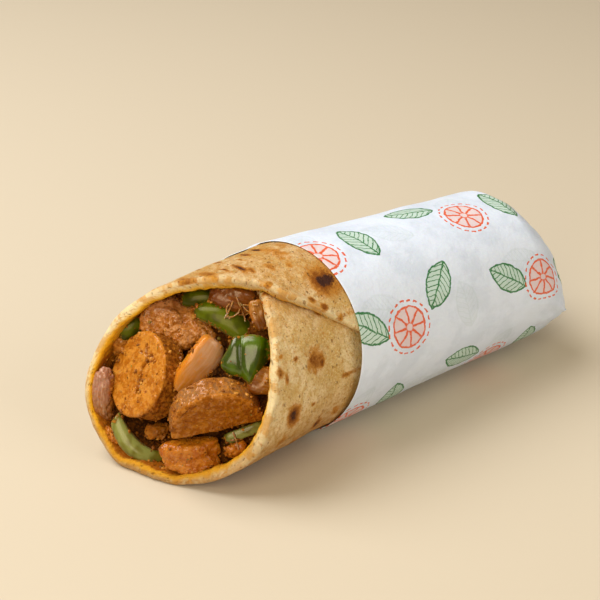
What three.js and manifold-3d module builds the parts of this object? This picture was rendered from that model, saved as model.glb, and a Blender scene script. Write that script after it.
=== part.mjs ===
// A flatbread rolled round a soya chaap filling, lying on its side in a paper sleeve.
//
// Millimetres, +Z up. The roll lies along X: its open mouth faces -X and the closed end of the
// paper faces +X. The side with the free edge of the bread faces -Y. While the pieces are made,
// x = 0 is the front edge of the paper and y = 0 is the middle of the sleeve. At the end the
// whole roll is moved so that the origin is at the middle of its underside.
//
// A turn angle is measured round the roll in degrees: 0 on the -Y side, 90 on top, -90 at the
// bottom and -180 on the +Y side. The bread is one sheet that starts under its own flap, runs
// down the -Y side, under, up the +Y side and over the top, and ends as the flap.
import * as THREE from 'three';
import { mergeVertices } from 'three/addons/utils/BufferGeometryUtils.js';
import Module from 'manifold-3d';

// ---- driving dimensions ------------------------------------------------------------------

const GAP = 0.3;                 // clearance between neighbouring pieces
const FILLING_GAP = 0.5;         // clearance between the filling and the bread
const SLEEVE_RADIUS = 30.5;      // outside of the paper at its front edge
const TAPER = 0.036;             // the roll gets thinner towards the tail, in mm of radius per mm
const SAG = 1.0;                 // height that the roll's own weight has pressed flat
const PAPER = 0.5;               // the wrapped layers of paper together
const TAIL_TOP_START = 86.8;     // where the top of the sleeve starts to close
const TAIL_UNDER_START = 85;     // where its underside starts to lift
const TAIL_END = 103.7;          // the closing crease
const CREASE_HEIGHT = 14.4;
const CREASE_TUCK = 3;           // how far each side of the tail is tucked in
const PAPER_EDGE_SLANT_Y = -0.143;
const PAPER_EDGE_SLANT_Z = 0.138;

const BREAD = 2.7;               // thickness of the bread
const LAP = BREAD + GAP;         // depth of the inner layer under the flap
const BREAD_RADIUS = 29.4;       // outside of the bread at the paper's edge
const BREAD_END = 84;            // the bread and the filling end here, inside the paper
const FLARE = [2.92, -1.8];      // growth of the radius towards the mouth
const LEAN = [-0.34, -2.76];     // the mouth leans towards -Y
const MOUTH_DROP = 2.46;         // the middle of the mouth is this much lower
const MOUTH_LENGTH = 50;         // the length over which those three are given
const OVAL = [2.83, 1.09, 0.48, 0.35];

// The round edge of the bread: turn angle, and how far forward the edge reaches there.
const BREAD_EDGE = [
  [85, -13.7], [50, -20.9], [20, -27.0], [-20, -35.0], [-60, -45.5], [-95, -52.7],
  [-130, -57.5], [-165, -56.7], [-200, -46.9], [-235, -34.4], [-265, -25.2],
  [-285, -17.8], [-300, -14.5], [-318, -5.6], [-338, 6.7],
];
const FLAP_LANDS = [-50, 22];    // the inner layer comes up to full radius between these angles
const LIFT_LENGTH = 30;          // in front of the paper the bread settles down over this length

// The slanted plane of the mouth: x = MOUTH_PLANE.x + MOUTH_PLANE.y * y + MOUTH_PLANE.z * z.
const MOUTH_PLANE = { x: -54.6, y: -0.387, z: 0.512 };
const FILLING_RECESS = 9;        // the bed of the filling lies this deep behind that plane
const FILLING_LUMPS = 1.6;
const BED_GAP = 0.6;             // a piece's hollow in the bed is this much larger all round

const COLOURS = {
  bread: 0xd8b27c,
  paper: 0xe3e2e4,
  chaap: 0xb9682b,
  chaapDark: 0x8a4a1c,
  onion: 0xcf9a66,
  onionPink: 0xb9908a,
  pepper: 0x5f7a1e,
  gravy: 0x8a4416,
};

// ---- shapes shared by the pieces ---------------------------------------------------------

const wasm = await Module();
wasm.setup();

const radians = THREE.MathUtils.degToRad;

/** A closed mesh from a list of points and the triangles between them. */
function meshFromTriangles(points, triangles) {
  const geometry = new THREE.BufferGeometry();
  geometry.setAttribute('position', new THREE.Float32BufferAttribute(points.flat(), 3));
  geometry.setIndex(triangles.flat());
  return mergeVertices(geometry, 1e-4);
}

/** The two triangles of a grid cell. */
function cell(a, b, c, d) {
  return [[a, b, c], [a, c, d]];
}

function toSolid(geometry) {
  const merged = geometry.clone();
  merged.deleteAttribute('normal');
  merged.deleteAttribute('uv');
  const closed = mergeVertices(merged, 1e-4);
  const mesh = new wasm.Mesh({
    numProp: 3,
    vertProperties: new Float32Array(closed.attributes.position.array),
    triVerts: new Uint32Array(closed.index.array),
  });
  return new wasm.Manifold(mesh);
}

function toGeometry(solid) {
  const mesh = solid.getMesh();
  const geometry = new THREE.BufferGeometry();
  geometry.setAttribute('position', new THREE.BufferAttribute(mesh.vertProperties, 3));
  geometry.setIndex(new THREE.BufferAttribute(mesh.triVerts, 1));
  return geometry;
}

/** A smooth uneven value in about -1..1 for a point, from a few waves with seeded directions. */
function unevenness(seed) {
  let state = seed;
  const draw = () => {
    state = (state * 16807) % 2147483647;
    return state / 2147483647;
  };
  const waves = Array.from({ length: 5 }, (_, i) => ({
    direction: new THREE.Vector3(draw() - 0.5, draw() - 0.5, draw() - 0.5).normalize(),
    pitch: 2.2 + 1.1 * i,
    phase: draw() * Math.PI * 2,
    height: 0.45 / (1 + 0.35 * i),
  }));
  return (point) => waves.reduce(
    (sum, wave) => sum + wave.height * Math.sin(wave.pitch * point.dot(wave.direction) + wave.phase),
    0,
  );
}

// ---- the form of the roll ----------------------------------------------------------------

/** Middle height of the roll, from the sleeve's radius and the flat it rests on. */
function middleHeight(x) {
  const forward = Math.max(-x, 0) / MOUTH_LENGTH;
  return SLEEVE_RADIUS - TAPER * Math.max(x, 0) - SAG - MOUTH_DROP * forward;
}

/** A point in the bread, at a depth below its outer face. */
function breadPoint(x, angle, depth) {
  const forward = Math.max(-x, 0) / MOUTH_LENGTH;
  const turn = radians(angle);
  const oval = OVAL[0] * Math.cos(2 * turn) + OVAL[1] * Math.sin(2 * turn)
    + OVAL[2] * Math.cos(3 * turn) + OVAL[3] * Math.sin(3 * turn);
  const radius = BREAD_RADIUS - TAPER * Math.max(x, 0)
    + FLARE[0] * forward + FLARE[1] * forward ** 2 + forward * oval;
  const reach = radius - depth;
  const lean = LEAN[0] * forward + LEAN[1] * forward ** 2;
  const liftedByPaper = (PAPER + GAP) * THREE.MathUtils.clamp(1 + x / LIFT_LENGTH, 0, 1);
  const y = lean - reach * Math.cos(turn);
  const z = middleHeight(x) + reach * Math.sin(turn);
  return [x, y, Math.max(z, liftedByPaper + depth)];
}

/** How deep the sheet's outer face lies below the outside of the roll: the inner layer dips
 *  under the flap. */
function sheetDepth(angle) {
  return LAP * THREE.MathUtils.smoothstep(angle, FLAP_LANDS[0], FLAP_LANDS[1]);
}

/** Places along a line of the sheet, from its front, past the paper's edge, to its end. */
function lengthwise(front, forwardShares, hiddenShares) {
  const knee = Math.max(0, front + 2);
  const forward = forwardShares.map((share) => THREE.MathUtils.lerp(front, knee, share));
  const hidden = hiddenShares.map((share) => THREE.MathUtils.lerp(knee, BREAD_END, share));
  return [...forward, ...hidden];
}

/** Depth of the space inside the bread, with its step at the start of the sheet eased off. */
function insideDepth(angle) {
  const start = BREAD_EDGE[0][0];
  const past = -360 + start - angle;
  const step = LAP * THREE.MathUtils.smoothstep(past, -34, -4);
  return BREAD + FILLING_GAP + Math.max(sheetDepth(angle), step);
}

// ---- flatbread ---------------------------------------------------------------------------

/** The flatbread: one thin sheet rolled up with its edges overlapping on the -Y side. */
function flatbreadGeometry() {
  const turns = 66;
  const edge = new THREE.SplineCurve(BREAD_EDGE.map(([angle, x]) => new THREE.Vector2(angle, x)));
  const points = [];
  const last = 7;
  for (const { x: angle, y: front } of edge.getSpacedPoints(turns)) {
    for (const face of [0, BREAD]) {
      for (const x of lengthwise(front, [0, 0.12, 0.35, 0.65], [0, 0.3, 0.65, 1])) {
        points.push(breadPoint(x, angle, sheetDepth(angle) + face));
      }
    }
  }
  const at = (column, face, row) => (column * 2 + face) * (last + 1) + row;
  const triangles = [];
  for (let c = 0; c < turns; c += 1) {
    for (let r = 0; r < last; r += 1) {
      triangles.push(...cell(at(c, 0, r), at(c + 1, 0, r), at(c + 1, 0, r + 1), at(c, 0, r + 1)));
      triangles.push(...cell(at(c, 1, r), at(c, 1, r + 1), at(c + 1, 1, r + 1), at(c + 1, 1, r)));
    }
    triangles.push(...cell(at(c, 0, 0), at(c, 1, 0), at(c + 1, 1, 0), at(c + 1, 0, 0)));
    triangles.push(...cell(at(c, 0, last), at(c + 1, 0, last), at(c + 1, 1, last), at(c, 1, last)));
  }
  for (let r = 0; r < last; r += 1) {
    triangles.push(...cell(at(0, 0, r), at(0, 0, r + 1), at(0, 1, r + 1), at(0, 1, r)));
    triangles.push(...cell(at(turns, 0, r), at(turns, 1, r), at(turns, 1, r + 1), at(turns, 0, r + 1)));
  }
  return meshFromTriangles(points, triangles);
}

// ---- paper sleeve ------------------------------------------------------------------------

/** A point of the sleeve. The tail closes to a level crease, lower than the middle. */
function sleevePoint(x, angle, inset) {
  const turn = radians(angle);
  const radius = SLEEVE_RADIUS - TAPER * Math.max(x, 0);
  const middle = middleHeight(Math.max(x, 0));
  const end = TAIL_END - 1.6 * inset;
  const closing = THREE.MathUtils.clamp((x - TAIL_TOP_START) / (end - TAIL_TOP_START), 0, 1);
  const lifting = THREE.MathUtils.clamp((x - TAIL_UNDER_START) / (end - TAIL_UNDER_START), 0, 1);
  const top = CREASE_HEIGHT
    + (middle + radius - inset - CREASE_HEIGHT) * (1 - closing ** 1.2) ** 0.26;
  const underside = CREASE_HEIGHT
    + (middle - radius + inset - CREASE_HEIGHT) * Math.sqrt(1 - lifting ** 3.2);
  const widest = THREE.MathUtils.lerp(middle, CREASE_HEIGHT, closing ** 1.5);
  const halfWidth = radius - CREASE_TUCK * closing ** 2 - inset;
  const rise = Math.sin(turn);
  const z = widest + (rise > 0 ? top - widest : widest - underside) * rise;
  return [x, -halfWidth * Math.cos(turn), Math.max(z, inset)];
}

/** The paper sleeve: a thin wrapped tube with a slanted front edge and a creased, shut tail. */
function sleeveGeometry() {
  const turns = 52;
  const stations = [0, 42, 84, 90, 94.5, 98, 100.6, 102.4, TAIL_END];
  const points = [];
  const skins = [];
  for (const inset of [0, PAPER]) {
    const rings = stations.map((station, row) => Array.from({ length: turns }, (_, i) => {
      const angle = (i / turns) * 360 - 180;
      let x = station;
      if (row === 0) {
        const [, y, z] = sleevePoint(0, angle, inset);
        x = PAPER_EDGE_SLANT_Y * y + PAPER_EDGE_SLANT_Z * (z - middleHeight(0));
      } else if (station > TAIL_UNDER_START) {
        const share = (station - TAIL_UNDER_START) / (TAIL_END - TAIL_UNDER_START);
        x = station - 1.6 * inset * share;
      }
      points.push(sleevePoint(x, angle, inset));
      return points.length - 1;
    }));
    skins.push(rings);
  }
  const [outer, inner] = skins;
  const triangles = [];
  for (let i = 0; i < turns; i += 1) {
    const j = (i + 1) % turns;
    for (let row = 0; row + 1 < stations.length; row += 1) {
      triangles.push(...cell(outer[row][i], outer[row + 1][i], outer[row + 1][j], outer[row][j]));
      triangles.push(...cell(inner[row][i], inner[row][j], inner[row + 1][j], inner[row + 1][i]));
    }
    triangles.push(...cell(outer[0][i], outer[0][j], inner[0][j], inner[0][i]));
  }
  return meshFromTriangles(points, triangles);
}

// ---- filling -----------------------------------------------------------------------------

/** A closed solid inside the bread, from a front surface to the end of the bread. */
function insideGeometry(frontAt, turns, rings) {
  const rows = 4;
  const points = [];
  const triangles = [];
  const ring = (place) => Array.from({ length: turns }, (_, i) => {
    const angle = (i / turns) * 360 - 275;
    points.push(place(angle, insideDepth(angle)));
    return points.length - 1;
  });
  const wall = Array.from({ length: rows + 1 }, (_, row) => ring((angle, depth) => {
    let start = frontAt(...breadPoint(MOUTH_PLANE.x, angle, depth).slice(1));
    start = frontAt(...breadPoint(start, angle, depth).slice(1));
    return breadPoint(lengthwise(start, [0, 0.5], [0, 0.5, 1])[row], angle, depth);
  }));
  const centreY = LEAN[1] * 0.6;
  const centreZ = middleHeight(MOUTH_PLANE.x * 0.7);
  const discs = [wall[0]];
  for (let r = 1; r < rings; r += 1) {
    const share = 1 - r / rings;
    discs.push(ring((angle, depth) => {
      const [, y, z] = breadPoint(MOUTH_PLANE.x * 0.7, angle, depth);
      const innerY = centreY + (y - centreY) * share;
      const innerZ = centreZ + (z - centreZ) * share;
      return [frontAt(innerY, innerZ), innerY, innerZ];
    }));
  }
  const hub = points.push([frontAt(centreY, centreZ), centreY, centreZ]) - 1;
  const tail = points.push([BREAD_END, 0, middleHeight(BREAD_END)]) - 1;
  for (let i = 0; i < turns; i += 1) {
    const j = (i + 1) % turns;
    for (let row = 0; row < rows; row += 1) {
      triangles.push(...cell(wall[row][i], wall[row + 1][i], wall[row + 1][j], wall[row][j]));
    }
    for (let r = 0; r + 1 < rings; r += 1) {
      triangles.push(...cell(discs[r][i], discs[r][j], discs[r + 1][j], discs[r + 1][i]));
    }
    triangles.push([discs[rings - 1][i], discs[rings - 1][j], hub]);
    triangles.push([wall[rows][i], tail, wall[rows][j]]);
  }
  return meshFromTriangles(points, triangles);
}

/** Sets a shape with its own +Z turned to `facing` and its own +X along `along`. */
function placed(geometry, { at, facing, along }) {
  const zAxis = new THREE.Vector3(...facing).normalize();
  const xAxis = new THREE.Vector3(...along);
  xAxis.addScaledVector(zAxis, -xAxis.dot(zAxis)).normalize();
  const yAxis = new THREE.Vector3().crossVectors(zAxis, xAxis);
  const matrix = new THREE.Matrix4().makeBasis(xAxis, yAxis, zAxis).setPosition(...at);
  return geometry.applyMatrix4(matrix);
}

/** A slice of a soya chaap stick: its cut face is local +Z, at the given place. A chord cuts a
 *  half slice off at that distance below the middle. */
function sliceGeometry({ radius, length, chord = radius }, grow) {
  const round = 1.2;
  const size = radius + grow - round;
  const outline = new THREE.Shape();
  const open = chord < radius ? Math.acos((chord + grow - round) / size) : 0;
  outline.absarc(0, 0, size, -Math.PI / 2 + open, Math.PI * 1.5 - open, false);
  const geometry = new THREE.ExtrudeGeometry(outline, {
    depth: length + 2 * grow - 2 * round,
    curveSegments: 14,
    steps: 1,
    bevelThickness: round,
    bevelSize: round,
    bevelSegments: 2,
  });
  return geometry.translate(0, 0, round - length - grow);
}

/** A soft morsel: a round, blocky or flat form, lumpy, with its two ends bent back by `bend`
 *  and swept sideways by `sweep`. */
function morselGeometry(morsel, grow) {
  const { size, block = 1, bend = 0, sweep = 0, lumps = 0, seed = 1, detail = 3 } = morsel;
  const geometry = new THREE.IcosahedronGeometry(1, detail);
  const uneven = unevenness(seed);
  const half = size.map((side) => side / 2 + grow);
  const position = geometry.attributes.position;
  const point = new THREE.Vector3();
  for (let i = 0; i < position.count; i += 1) {
    point.fromBufferAttribute(position, i);
    const swell = 1 + lumps * uneven(point);
    point.set(...point.toArray().map((v) => Math.sign(v) * Math.abs(v) ** block * swell));
    point.set(point.x * half[0], point.y * half[1], point.z * half[2]);
    const outward = (point.x / half[0]) ** 2;
    point.z -= bend * outward;
    point.y += sweep * outward;
    position.setXYZ(i, point.x, point.y, point.z);
  }
  return geometry;
}

// Directions used by the pieces, as seen by someone who looks into the mouth.
const TO_VIEWER = [-0.56, -0.69, 0.45];
const TO_RIGHT = [0.77, -0.63, 0];

// Every piece of the filling that shows at the mouth, the front ones first. A later piece is cut
// where it meets an earlier one.
const FILLING = [
  {
    name: 'chaap_half_slice', shape: sliceGeometry, colour: COLOURS.chaapDark,
    radius: 13.6, length: 8, chord: 0.6, at: [-38.1, -15.3, 18.4], facing: [-0.5, -0.83, -0.23],
    along: [0.82, -0.55, 0.19],
  },
  {
    name: 'onion_petal', shape: morselGeometry, colour: COLOURS.onion,
    size: [18.6, 8.8, 3.8], block: 0.65, bend: 1.2, seed: 11, at: [-36.8, -3.8, 34.3],
    facing: [-0.4, -0.88, 0.21], along: [0.74, -0.18, 0.64],
  },
  {
    name: 'chaap_slice', shape: sliceGeometry, colour: COLOURS.chaap,
    radius: 13, length: 8.5, at: [-47.6, 11.8, 28.4], facing: [-0.87, 0.08, 0.48], along: [0, 1, 0],
  },
  {
    name: 'pepper_folded', shape: morselGeometry, colour: COLOURS.pepper,
    size: [14.5, 15, 6], block: 0.75, bend: 2.2, lumps: 0.06, seed: 5, at: [-25.7, -13.1, 36.8],
    facing: TO_VIEWER, along: TO_RIGHT,
  },
  {
    name: 'pepper_upper', shape: morselGeometry, colour: COLOURS.pepper,
    size: [20, 7.8, 4.2], block: 0.7, bend: 2.6, sweep: -1.6, lumps: 0.03, seed: 8,
    at: [-23.9, -1.3, 44.5], facing: [-0.5, -0.55, 0.67], along: [0.49, -0.72, -0.48],
  },
  {
    name: 'chaap_chunk', shape: morselGeometry, colour: COLOURS.chaap,
    size: [28, 17, 14], block: 0.85, lumps: 0.12, seed: 23, at: [-31.4, 14.9, 39.2],
    facing: [-0.5, -0.5, 0.7], along: [0.74, -0.66, -0.09],
  },
  {
    name: 'pepper_lower', shape: morselGeometry, colour: COLOURS.pepper,
    size: [21, 5.6, 4.2], block: 0.7, bend: 1, sweep: 3.8, lumps: 0.03, seed: 3,
    at: [-52.4, 7.9, 6.2], facing: TO_VIEWER, along: [0.43, -0.71, -0.55],
  },
  {
    name: 'chaap_nugget', shape: morselGeometry, colour: COLOURS.chaap,
    size: [22, 12.5, 10.5], block: 0.85, lumps: 0.18, seed: 31, at: [-42.2, -9.5, 9.2],
    facing: TO_VIEWER, along: TO_RIGHT,
  },
  {
    name: 'onion_far', shape: morselGeometry, colour: COLOURS.onionPink,
    size: [18, 6, 4], block: 0.8, bend: 1.5, lumps: 0.05, seed: 12, at: [-53.2, 23.0, 17.7],
    facing: [-0.9, -0.4, 0.1], along: [0.25, 0.15, 0.95],
  },
  {
    name: 'chunk_far', shape: morselGeometry, colour: COLOURS.chaapDark,
    detail: 2, size: [13, 8, 8], block: 0.85, lumps: 0.14, seed: 14, at: [-45.1, 25.4, 29.8],
    facing: TO_VIEWER, along: [0.2, 0.1, 0.97],
  },
  {
    name: 'pepper_far', shape: morselGeometry, colour: COLOURS.pepper,
    detail: 2, size: [10, 5.5, 4], block: 0.8, bend: 0.8, seed: 17, at: [-40.4, 25.1, 35.9],
    facing: TO_VIEWER, along: [0.81, -0.37, 0.44],
  },
  {
    name: 'pepper_back', shape: morselGeometry, colour: COLOURS.pepper,
    detail: 2, size: [13, 5.4, 4], block: 0.75, bend: 1, seed: 19, at: [-24.5, 9.4, 47.2],
    facing: [-0.6, -0.6, 0.5], along: TO_RIGHT,
  },
  {
    name: 'chunk_upper', shape: morselGeometry, colour: COLOURS.chaapDark,
    detail: 2, size: [14, 7.5, 7], block: 0.85, lumps: 0.14, seed: 21, at: [-20.5, -0.3, 49.9],
    facing: TO_VIEWER, along: [0.65, -0.71, -0.27],
  },
  {
    name: 'onion_near', shape: morselGeometry, colour: COLOURS.onion,
    detail: 2, size: [9, 4.5, 4], block: 0.8, bend: 0.6, seed: 27, at: [-18.8, -10.2, 47.5],
    facing: TO_VIEWER, along: [0.08, 0.5, 0.86],
  },
  {
    name: 'onion_brown', shape: morselGeometry, colour: COLOURS.chaapDark,
    detail: 2, size: [9, 8, 6], block: 0.85, lumps: 0.1, seed: 29, at: [-24.4, -18.9, 31.4],
    facing: TO_VIEWER, along: TO_RIGHT,
  },
  {
    name: 'pepper_sliver', shape: morselGeometry, colour: COLOURS.pepper,
    detail: 2, size: [12.5, 4, 3.6], block: 0.75, bend: 0.8, seed: 33, at: [-31.3, -19.3, 16.7],
    facing: TO_VIEWER, along: [0.83, -0.46, 0.32],
  },
  {
    name: 'nugget_near', shape: morselGeometry, colour: COLOURS.chaapDark,
    detail: 2, size: [9, 7, 7], block: 0.85, lumps: 0.16, seed: 37, at: [-34.6, -19.7, 11.8],
    facing: TO_VIEWER, along: TO_RIGHT,
  },
  {
    name: 'nugget_middle', shape: morselGeometry, colour: COLOURS.chaapDark,
    detail: 2, size: [8, 8, 7], block: 0.85, lumps: 0.16, seed: 41, at: [-45.6, 4.5, 10.2],
    facing: TO_VIEWER, along: TO_RIGHT,
  },
  {
    name: 'nugget_low', shape: morselGeometry, colour: COLOURS.chaapDark,
    detail: 2, size: [10, 6, 5], block: 0.85, lumps: 0.16, seed: 43, at: [-55.9, 17.6, 6.8],
    facing: TO_VIEWER, along: [0.14, -0.62, -0.77],
  },
];

/** The bed of masala and fine filling, with the hollows that its larger pieces leave in it. */
function beddedFilling() {
  const plane = (y, z) => MOUTH_PLANE.x + MOUTH_PLANE.y * y + MOUTH_PLANE.z * z;
  const lumpy = unevenness(47);
  const bedFront = (y, z) => {
    const lump = lumpy(new THREE.Vector3(0, y * 0.13, z * 0.13));
    return plane(y, z) + FILLING_RECESS + FILLING_LUMPS * lump;
  };
  const space = toSolid(insideGeometry((y, z) => plane(y, z) - 30, 60, 2));
  let bed = toSolid(insideGeometry(bedFront, 40, 6));
  const taken = [];
  const pieces = [];
  for (const piece of FILLING) {
    let solid = toSolid(placed(piece.shape(piece, 0), piece)).intersect(space);
    for (const hollow of taken) {
      solid = solid.subtract(hollow);
    }
    taken.push(toSolid(placed(piece.shape(piece, GAP), piece)));
    bed = bed.subtract(toSolid(placed(piece.shape({ ...piece, detail: 2 }, BED_GAP), piece)));
    pieces.push({ ...piece, geometry: toGeometry(largestOf(solid)) });
  }
  return { bed: toGeometry(largestOf(bed)), pieces };
}

/** The largest of the separate bodies that cutting has left. */
function largestOf(solid) {
  const bodies = solid.decompose();
  return bodies.reduce((best, body) => (body.volume() > best.volume() ? body : best));
}

// ---- the scene graph ---------------------------------------------------------------------

function pieceMesh(name, geometry, color, roughness) {
  geometry.computeVertexNormals();
  const material = new THREE.MeshStandardMaterial({ color, roughness, metalness: 0 });
  const mesh = new THREE.Mesh(geometry, material);
  mesh.name = name;
  return mesh;
}

const roll = new THREE.Group();
roll.add(pieceMesh('flatbread', flatbreadGeometry(), COLOURS.bread, 0.75));
roll.add(pieceMesh('paper_wrap', sleeveGeometry(), COLOURS.paper, 0.85));

const filling = beddedFilling();
roll.add(pieceMesh('filling_bed', filling.bed, COLOURS.gravy, 0.6));
for (const piece of filling.pieces) {
  roll.add(pieceMesh(piece.name, piece.geometry, piece.colour, 0.55));
}

const bounds = new THREE.Box3().setFromObject(roll);
const middle = bounds.getCenter(new THREE.Vector3());
roll.position.set(-middle.x, -middle.y, -bounds.min.z);

export default roll;
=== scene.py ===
import math

import bpy
import numpy as np
from mathutils import Matrix, Vector, noise


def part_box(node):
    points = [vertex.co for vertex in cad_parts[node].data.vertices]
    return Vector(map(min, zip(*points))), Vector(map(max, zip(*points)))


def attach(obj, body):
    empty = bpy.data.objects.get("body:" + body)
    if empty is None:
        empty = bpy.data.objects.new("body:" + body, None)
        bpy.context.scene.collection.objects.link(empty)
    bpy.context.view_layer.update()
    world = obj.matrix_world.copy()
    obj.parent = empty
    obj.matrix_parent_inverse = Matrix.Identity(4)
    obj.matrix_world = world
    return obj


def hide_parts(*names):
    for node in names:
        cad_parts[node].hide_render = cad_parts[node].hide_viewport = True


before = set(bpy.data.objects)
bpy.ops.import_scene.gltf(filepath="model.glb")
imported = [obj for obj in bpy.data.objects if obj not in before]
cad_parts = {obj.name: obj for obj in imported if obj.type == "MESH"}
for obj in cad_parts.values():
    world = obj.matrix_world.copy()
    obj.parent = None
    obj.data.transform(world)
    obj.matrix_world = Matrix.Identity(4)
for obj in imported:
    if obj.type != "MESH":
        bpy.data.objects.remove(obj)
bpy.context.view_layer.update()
bpy.ops.object.select_all(action="DESELECT")

# ---- flatbread ---------------------------------------------------------------------------------
# A soft disc of griddled wheat bread, rolled up on its side round the filling. It is one sheet:
# it starts under its own flap, runs down the near side, under, up the far side and over the top,
# and ends as the flap. The griddle has left brown spots, and the filling's oil stains its rim.

MM = 0.001
PAPER_TAIL = 103.7            # the closing crease of the paper, behind the paper's front edge
paper_low, paper_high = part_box("paper_wrap")
ORIGIN = Vector((paper_high.x - PAPER_TAIL * MM, (paper_low.y + paper_high.y) / 2, 0))

SLEEVE_RADIUS = 30.5          # millimetres from here on, as the roll is laid out
TAPER = 0.036                 # how much thinner the roll gets per millimetre towards the tail
SAG = 1.0
BREAD = 2.7
LAP = 3.0                     # how deep the sheet lies where its flap covers it
BREAD_RADIUS = 29.4
BREAD_END = 84
FLARE = (2.92, -1.8)          # growth of the mouth's radius, with the share of its length and
LEAN = (-0.34, -2.76)         # the square of that, and its shift to the far side likewise
MOUTH_DROP = 2.46
MOUTH_LENGTH = 50
OVAL = (2.83, 1.09, 0.48, 0.35)   # how far from round the mouth is, in waves round it
FLAP_LANDS = (-50, 22)        # turn angles between which the sheet dips under its flap
FLAP_RISE = 1.2
FLAP_TURNS = (278, 300)       # where the flap starts to stand up, round by the far side
CORNER_TURNS = (175, 190, 245, 255)
CORNER_REACH = 13             # the bread is smooth there, under the free corner of the paper
LOWER_LEFT = -128             # turn angle of the mouth's lower left, where oil gathers
PAPER_LIFT = 0.8              # the paper keeps the bread this far off the table
LIFT_LENGTH = 30              # until the bread rests on it, that far before the paper

# Turn angle in degrees (0 on the near side, 90 on top) and how far forward the edge reaches.
BREAD_EDGE = (
    (85, -13.7), (50, -20.9), (20, -27.0), (-20, -35.0), (-60, -45.5), (-95, -52.7),
    (-130, -57.5), (-165, -56.7), (-200, -46.9), (-235, -34.4), (-265, -25.2),
    (-285, -17.8), (-300, -14.5), (-318, -5.6), (-338, 6.7),
)

BREAD_COLUMNS = 420           # faces round the roll
VISIBLE_ROWS = 72             # rows of faces outside the paper
RIM_ROWS = 9
MOUTH_ROWS = 42               # down the inner face
HIDDEN_ROWS = 6

# Griddle marks: turn angle, station, half width round the roll, half length along it, strength.
TOAST_MARKS = (
    (58, 0.5, 5.2, 3.6, 1.0), (94, -16.4, 3.8, 1.1, 1.0), (108, -8.7, 2.6, 0.9, 1.0),
    (108, -4.5, 3.6, 0.8, 0.9), (98, 0.7, 3.6, 0.7, 0.8), (118, -15.5, 2.4, 0.9, 0.8),
    (82, -9.5, 2.0, 1.1, 0.7), (86, -14.9, 2.2, 0.9, 0.7), (77, -4.4, 1.4, 0.8, 0.6),
    (104, -24.6, 5.0, 1.6, 0.7), (69, -15.4, 1.2, 1.3, 0.95), (61, -11.9, 0.5, 0.6, 0.6),
    (49.4, -6.3, 1.2, 1.3, 0.9), (43, -3.6, 1.3, 1.4, 0.95), (34, 0.5, 1.2, 1.3, 0.5),
    (92, -3, 5.5, 2.0, 0.5), (66, 6.4, 3.2, 3.0, 0.5), (112, -30, 6.0, 2.0, 0.65),
    (100, -20, 3.0, 0.6, 0.8), (122, -22, 2.0, 0.6, 0.7), (103, -12.4, 1.6, 0.5, 0.7),
    (16, -10.6, 3.6, 3.2, 0.75), (13, -8.4, 1.4, 1.2, 1.0), (18, -12.3, 1.0, 0.9, 0.9),
    (23, -18, 0.8, 0.9, 0.8), (28, -23, 0.7, 0.8, 0.7), (20, -25.2, 1.8, 1.2, 0.7),
    (15, -23.2, 1.4, 0.8, 0.7), (-9.5, -21.6, 3.6, 2.6, 1.0), (-32, -8.6, 3.2, 1.6, 0.9),
    (-9.7, -13.3, 0.7, 0.8, 0.7), (-2.6, -0.4, 0.9, 1.0, 0.7), (-28, -2, 2.4, 1.4, 0.6),
    (-20, 2.6, 2.6, 1.6, 0.6), (-27, -24, 2.6, 1.6, 0.6), (-45, -16, 4.0, 2.0, 0.7),
    (-60, -34, 6.0, 3.4, 0.7), (-100, -30, 6.0, 5.0, 0.7), (-140, -22, 7.0, 5.0, 0.8),
    (-165, -40, 4.0, 3.0, 0.8), (-190, -12, 7.0, 5.0, 0.9), (-205, -30, 3.0, 3.0, 0.8),
    (-222, -18, 2.6, 2.0, 0.8), (-120, -46, 4.0, 2.6, 0.7), (-150, -5, 5.0, 4.0, 0.6),
)
BURNT_MARKS = (
    (57.8, 0.5, 2.3, 1.5, 0.95), (94, -16.4, 2.6, 0.5, 0.75), (109, -9.0, 1.7, 0.4, 0.8),
    (109, -4.6, 3.0, 0.5, 0.85), (99, 0.6, 3.0, 0.4, 0.65), (-9.0, -21.7, 2.2, 1.3, 0.7),
    (-33, -9.0, 2.0, 0.5, 0.75), (13, -8.2, 0.6, 0.5, 0.5), (69, -15.4, 0.5, 0.6, 0.45),
    (100, -20, 2.0, 0.3, 0.7), (122, -22, 1.4, 0.3, 0.7), (118, -15.5, 1.6, 0.4, 0.6),
    (-188, -12, 3.8, 2.6, 0.9), (-138, -22, 3.0, 2.2, 0.8), (-100, -31, 2.2, 1.8, 0.7),
    (-165, -40, 1.5, 1.2, 0.7),
)

BREAD_CREAM = (0.77, 0.60, 0.34, 1)
BREAD_TAN = (0.59, 0.385, 0.135, 1)
BREAD_BROWN = (0.38, 0.15, 0.015, 1)
BREAD_HALO = (0.46, 0.185, 0.022, 1)
BREAD_TOAST = (0.21, 0.060, 0.006, 1)
BREAD_BURNT = (0.035, 0.012, 0.012, 1)
BREAD_RIM = (0.78, 0.65, 0.39, 1)
BREAD_GOLD = (0.68, 0.42, 0.05, 1)
BREAD_INSIDE = (0.80, 0.38, 0.006, 1)
BREAD_OIL = (0.54, 0.24, 0.02, 1)
BREAD_STAIN = (0.36, 0.095, 0.006, 1)
PIT = (0.17, 0.055, 0.008, 1)
OILY_GLINT = (1.0, 0.68, 0.30, 1)      # the shine of the red spiced oil
PLAIN_GLINT = (1, 1, 1, 1)             # the shine of what has none of that oil on it


def in_frame(points):
    """Points in the roll's millimetres, as points in the shared frame in metres."""
    return np.asarray(points, float) * MM + np.array(ORIGIN)


def smoothstep(value, start, end):
    share = np.clip((value - start) / (end - start), 0, 1)
    return share * share * (3 - 2 * share)


def between(value, turns):
    """1 from the second to the third of four turns, falling to 0 at the first and the last."""
    return smoothstep(value, *turns[:2]) * (1 - smoothstep(value, *turns[2:]))


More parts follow.
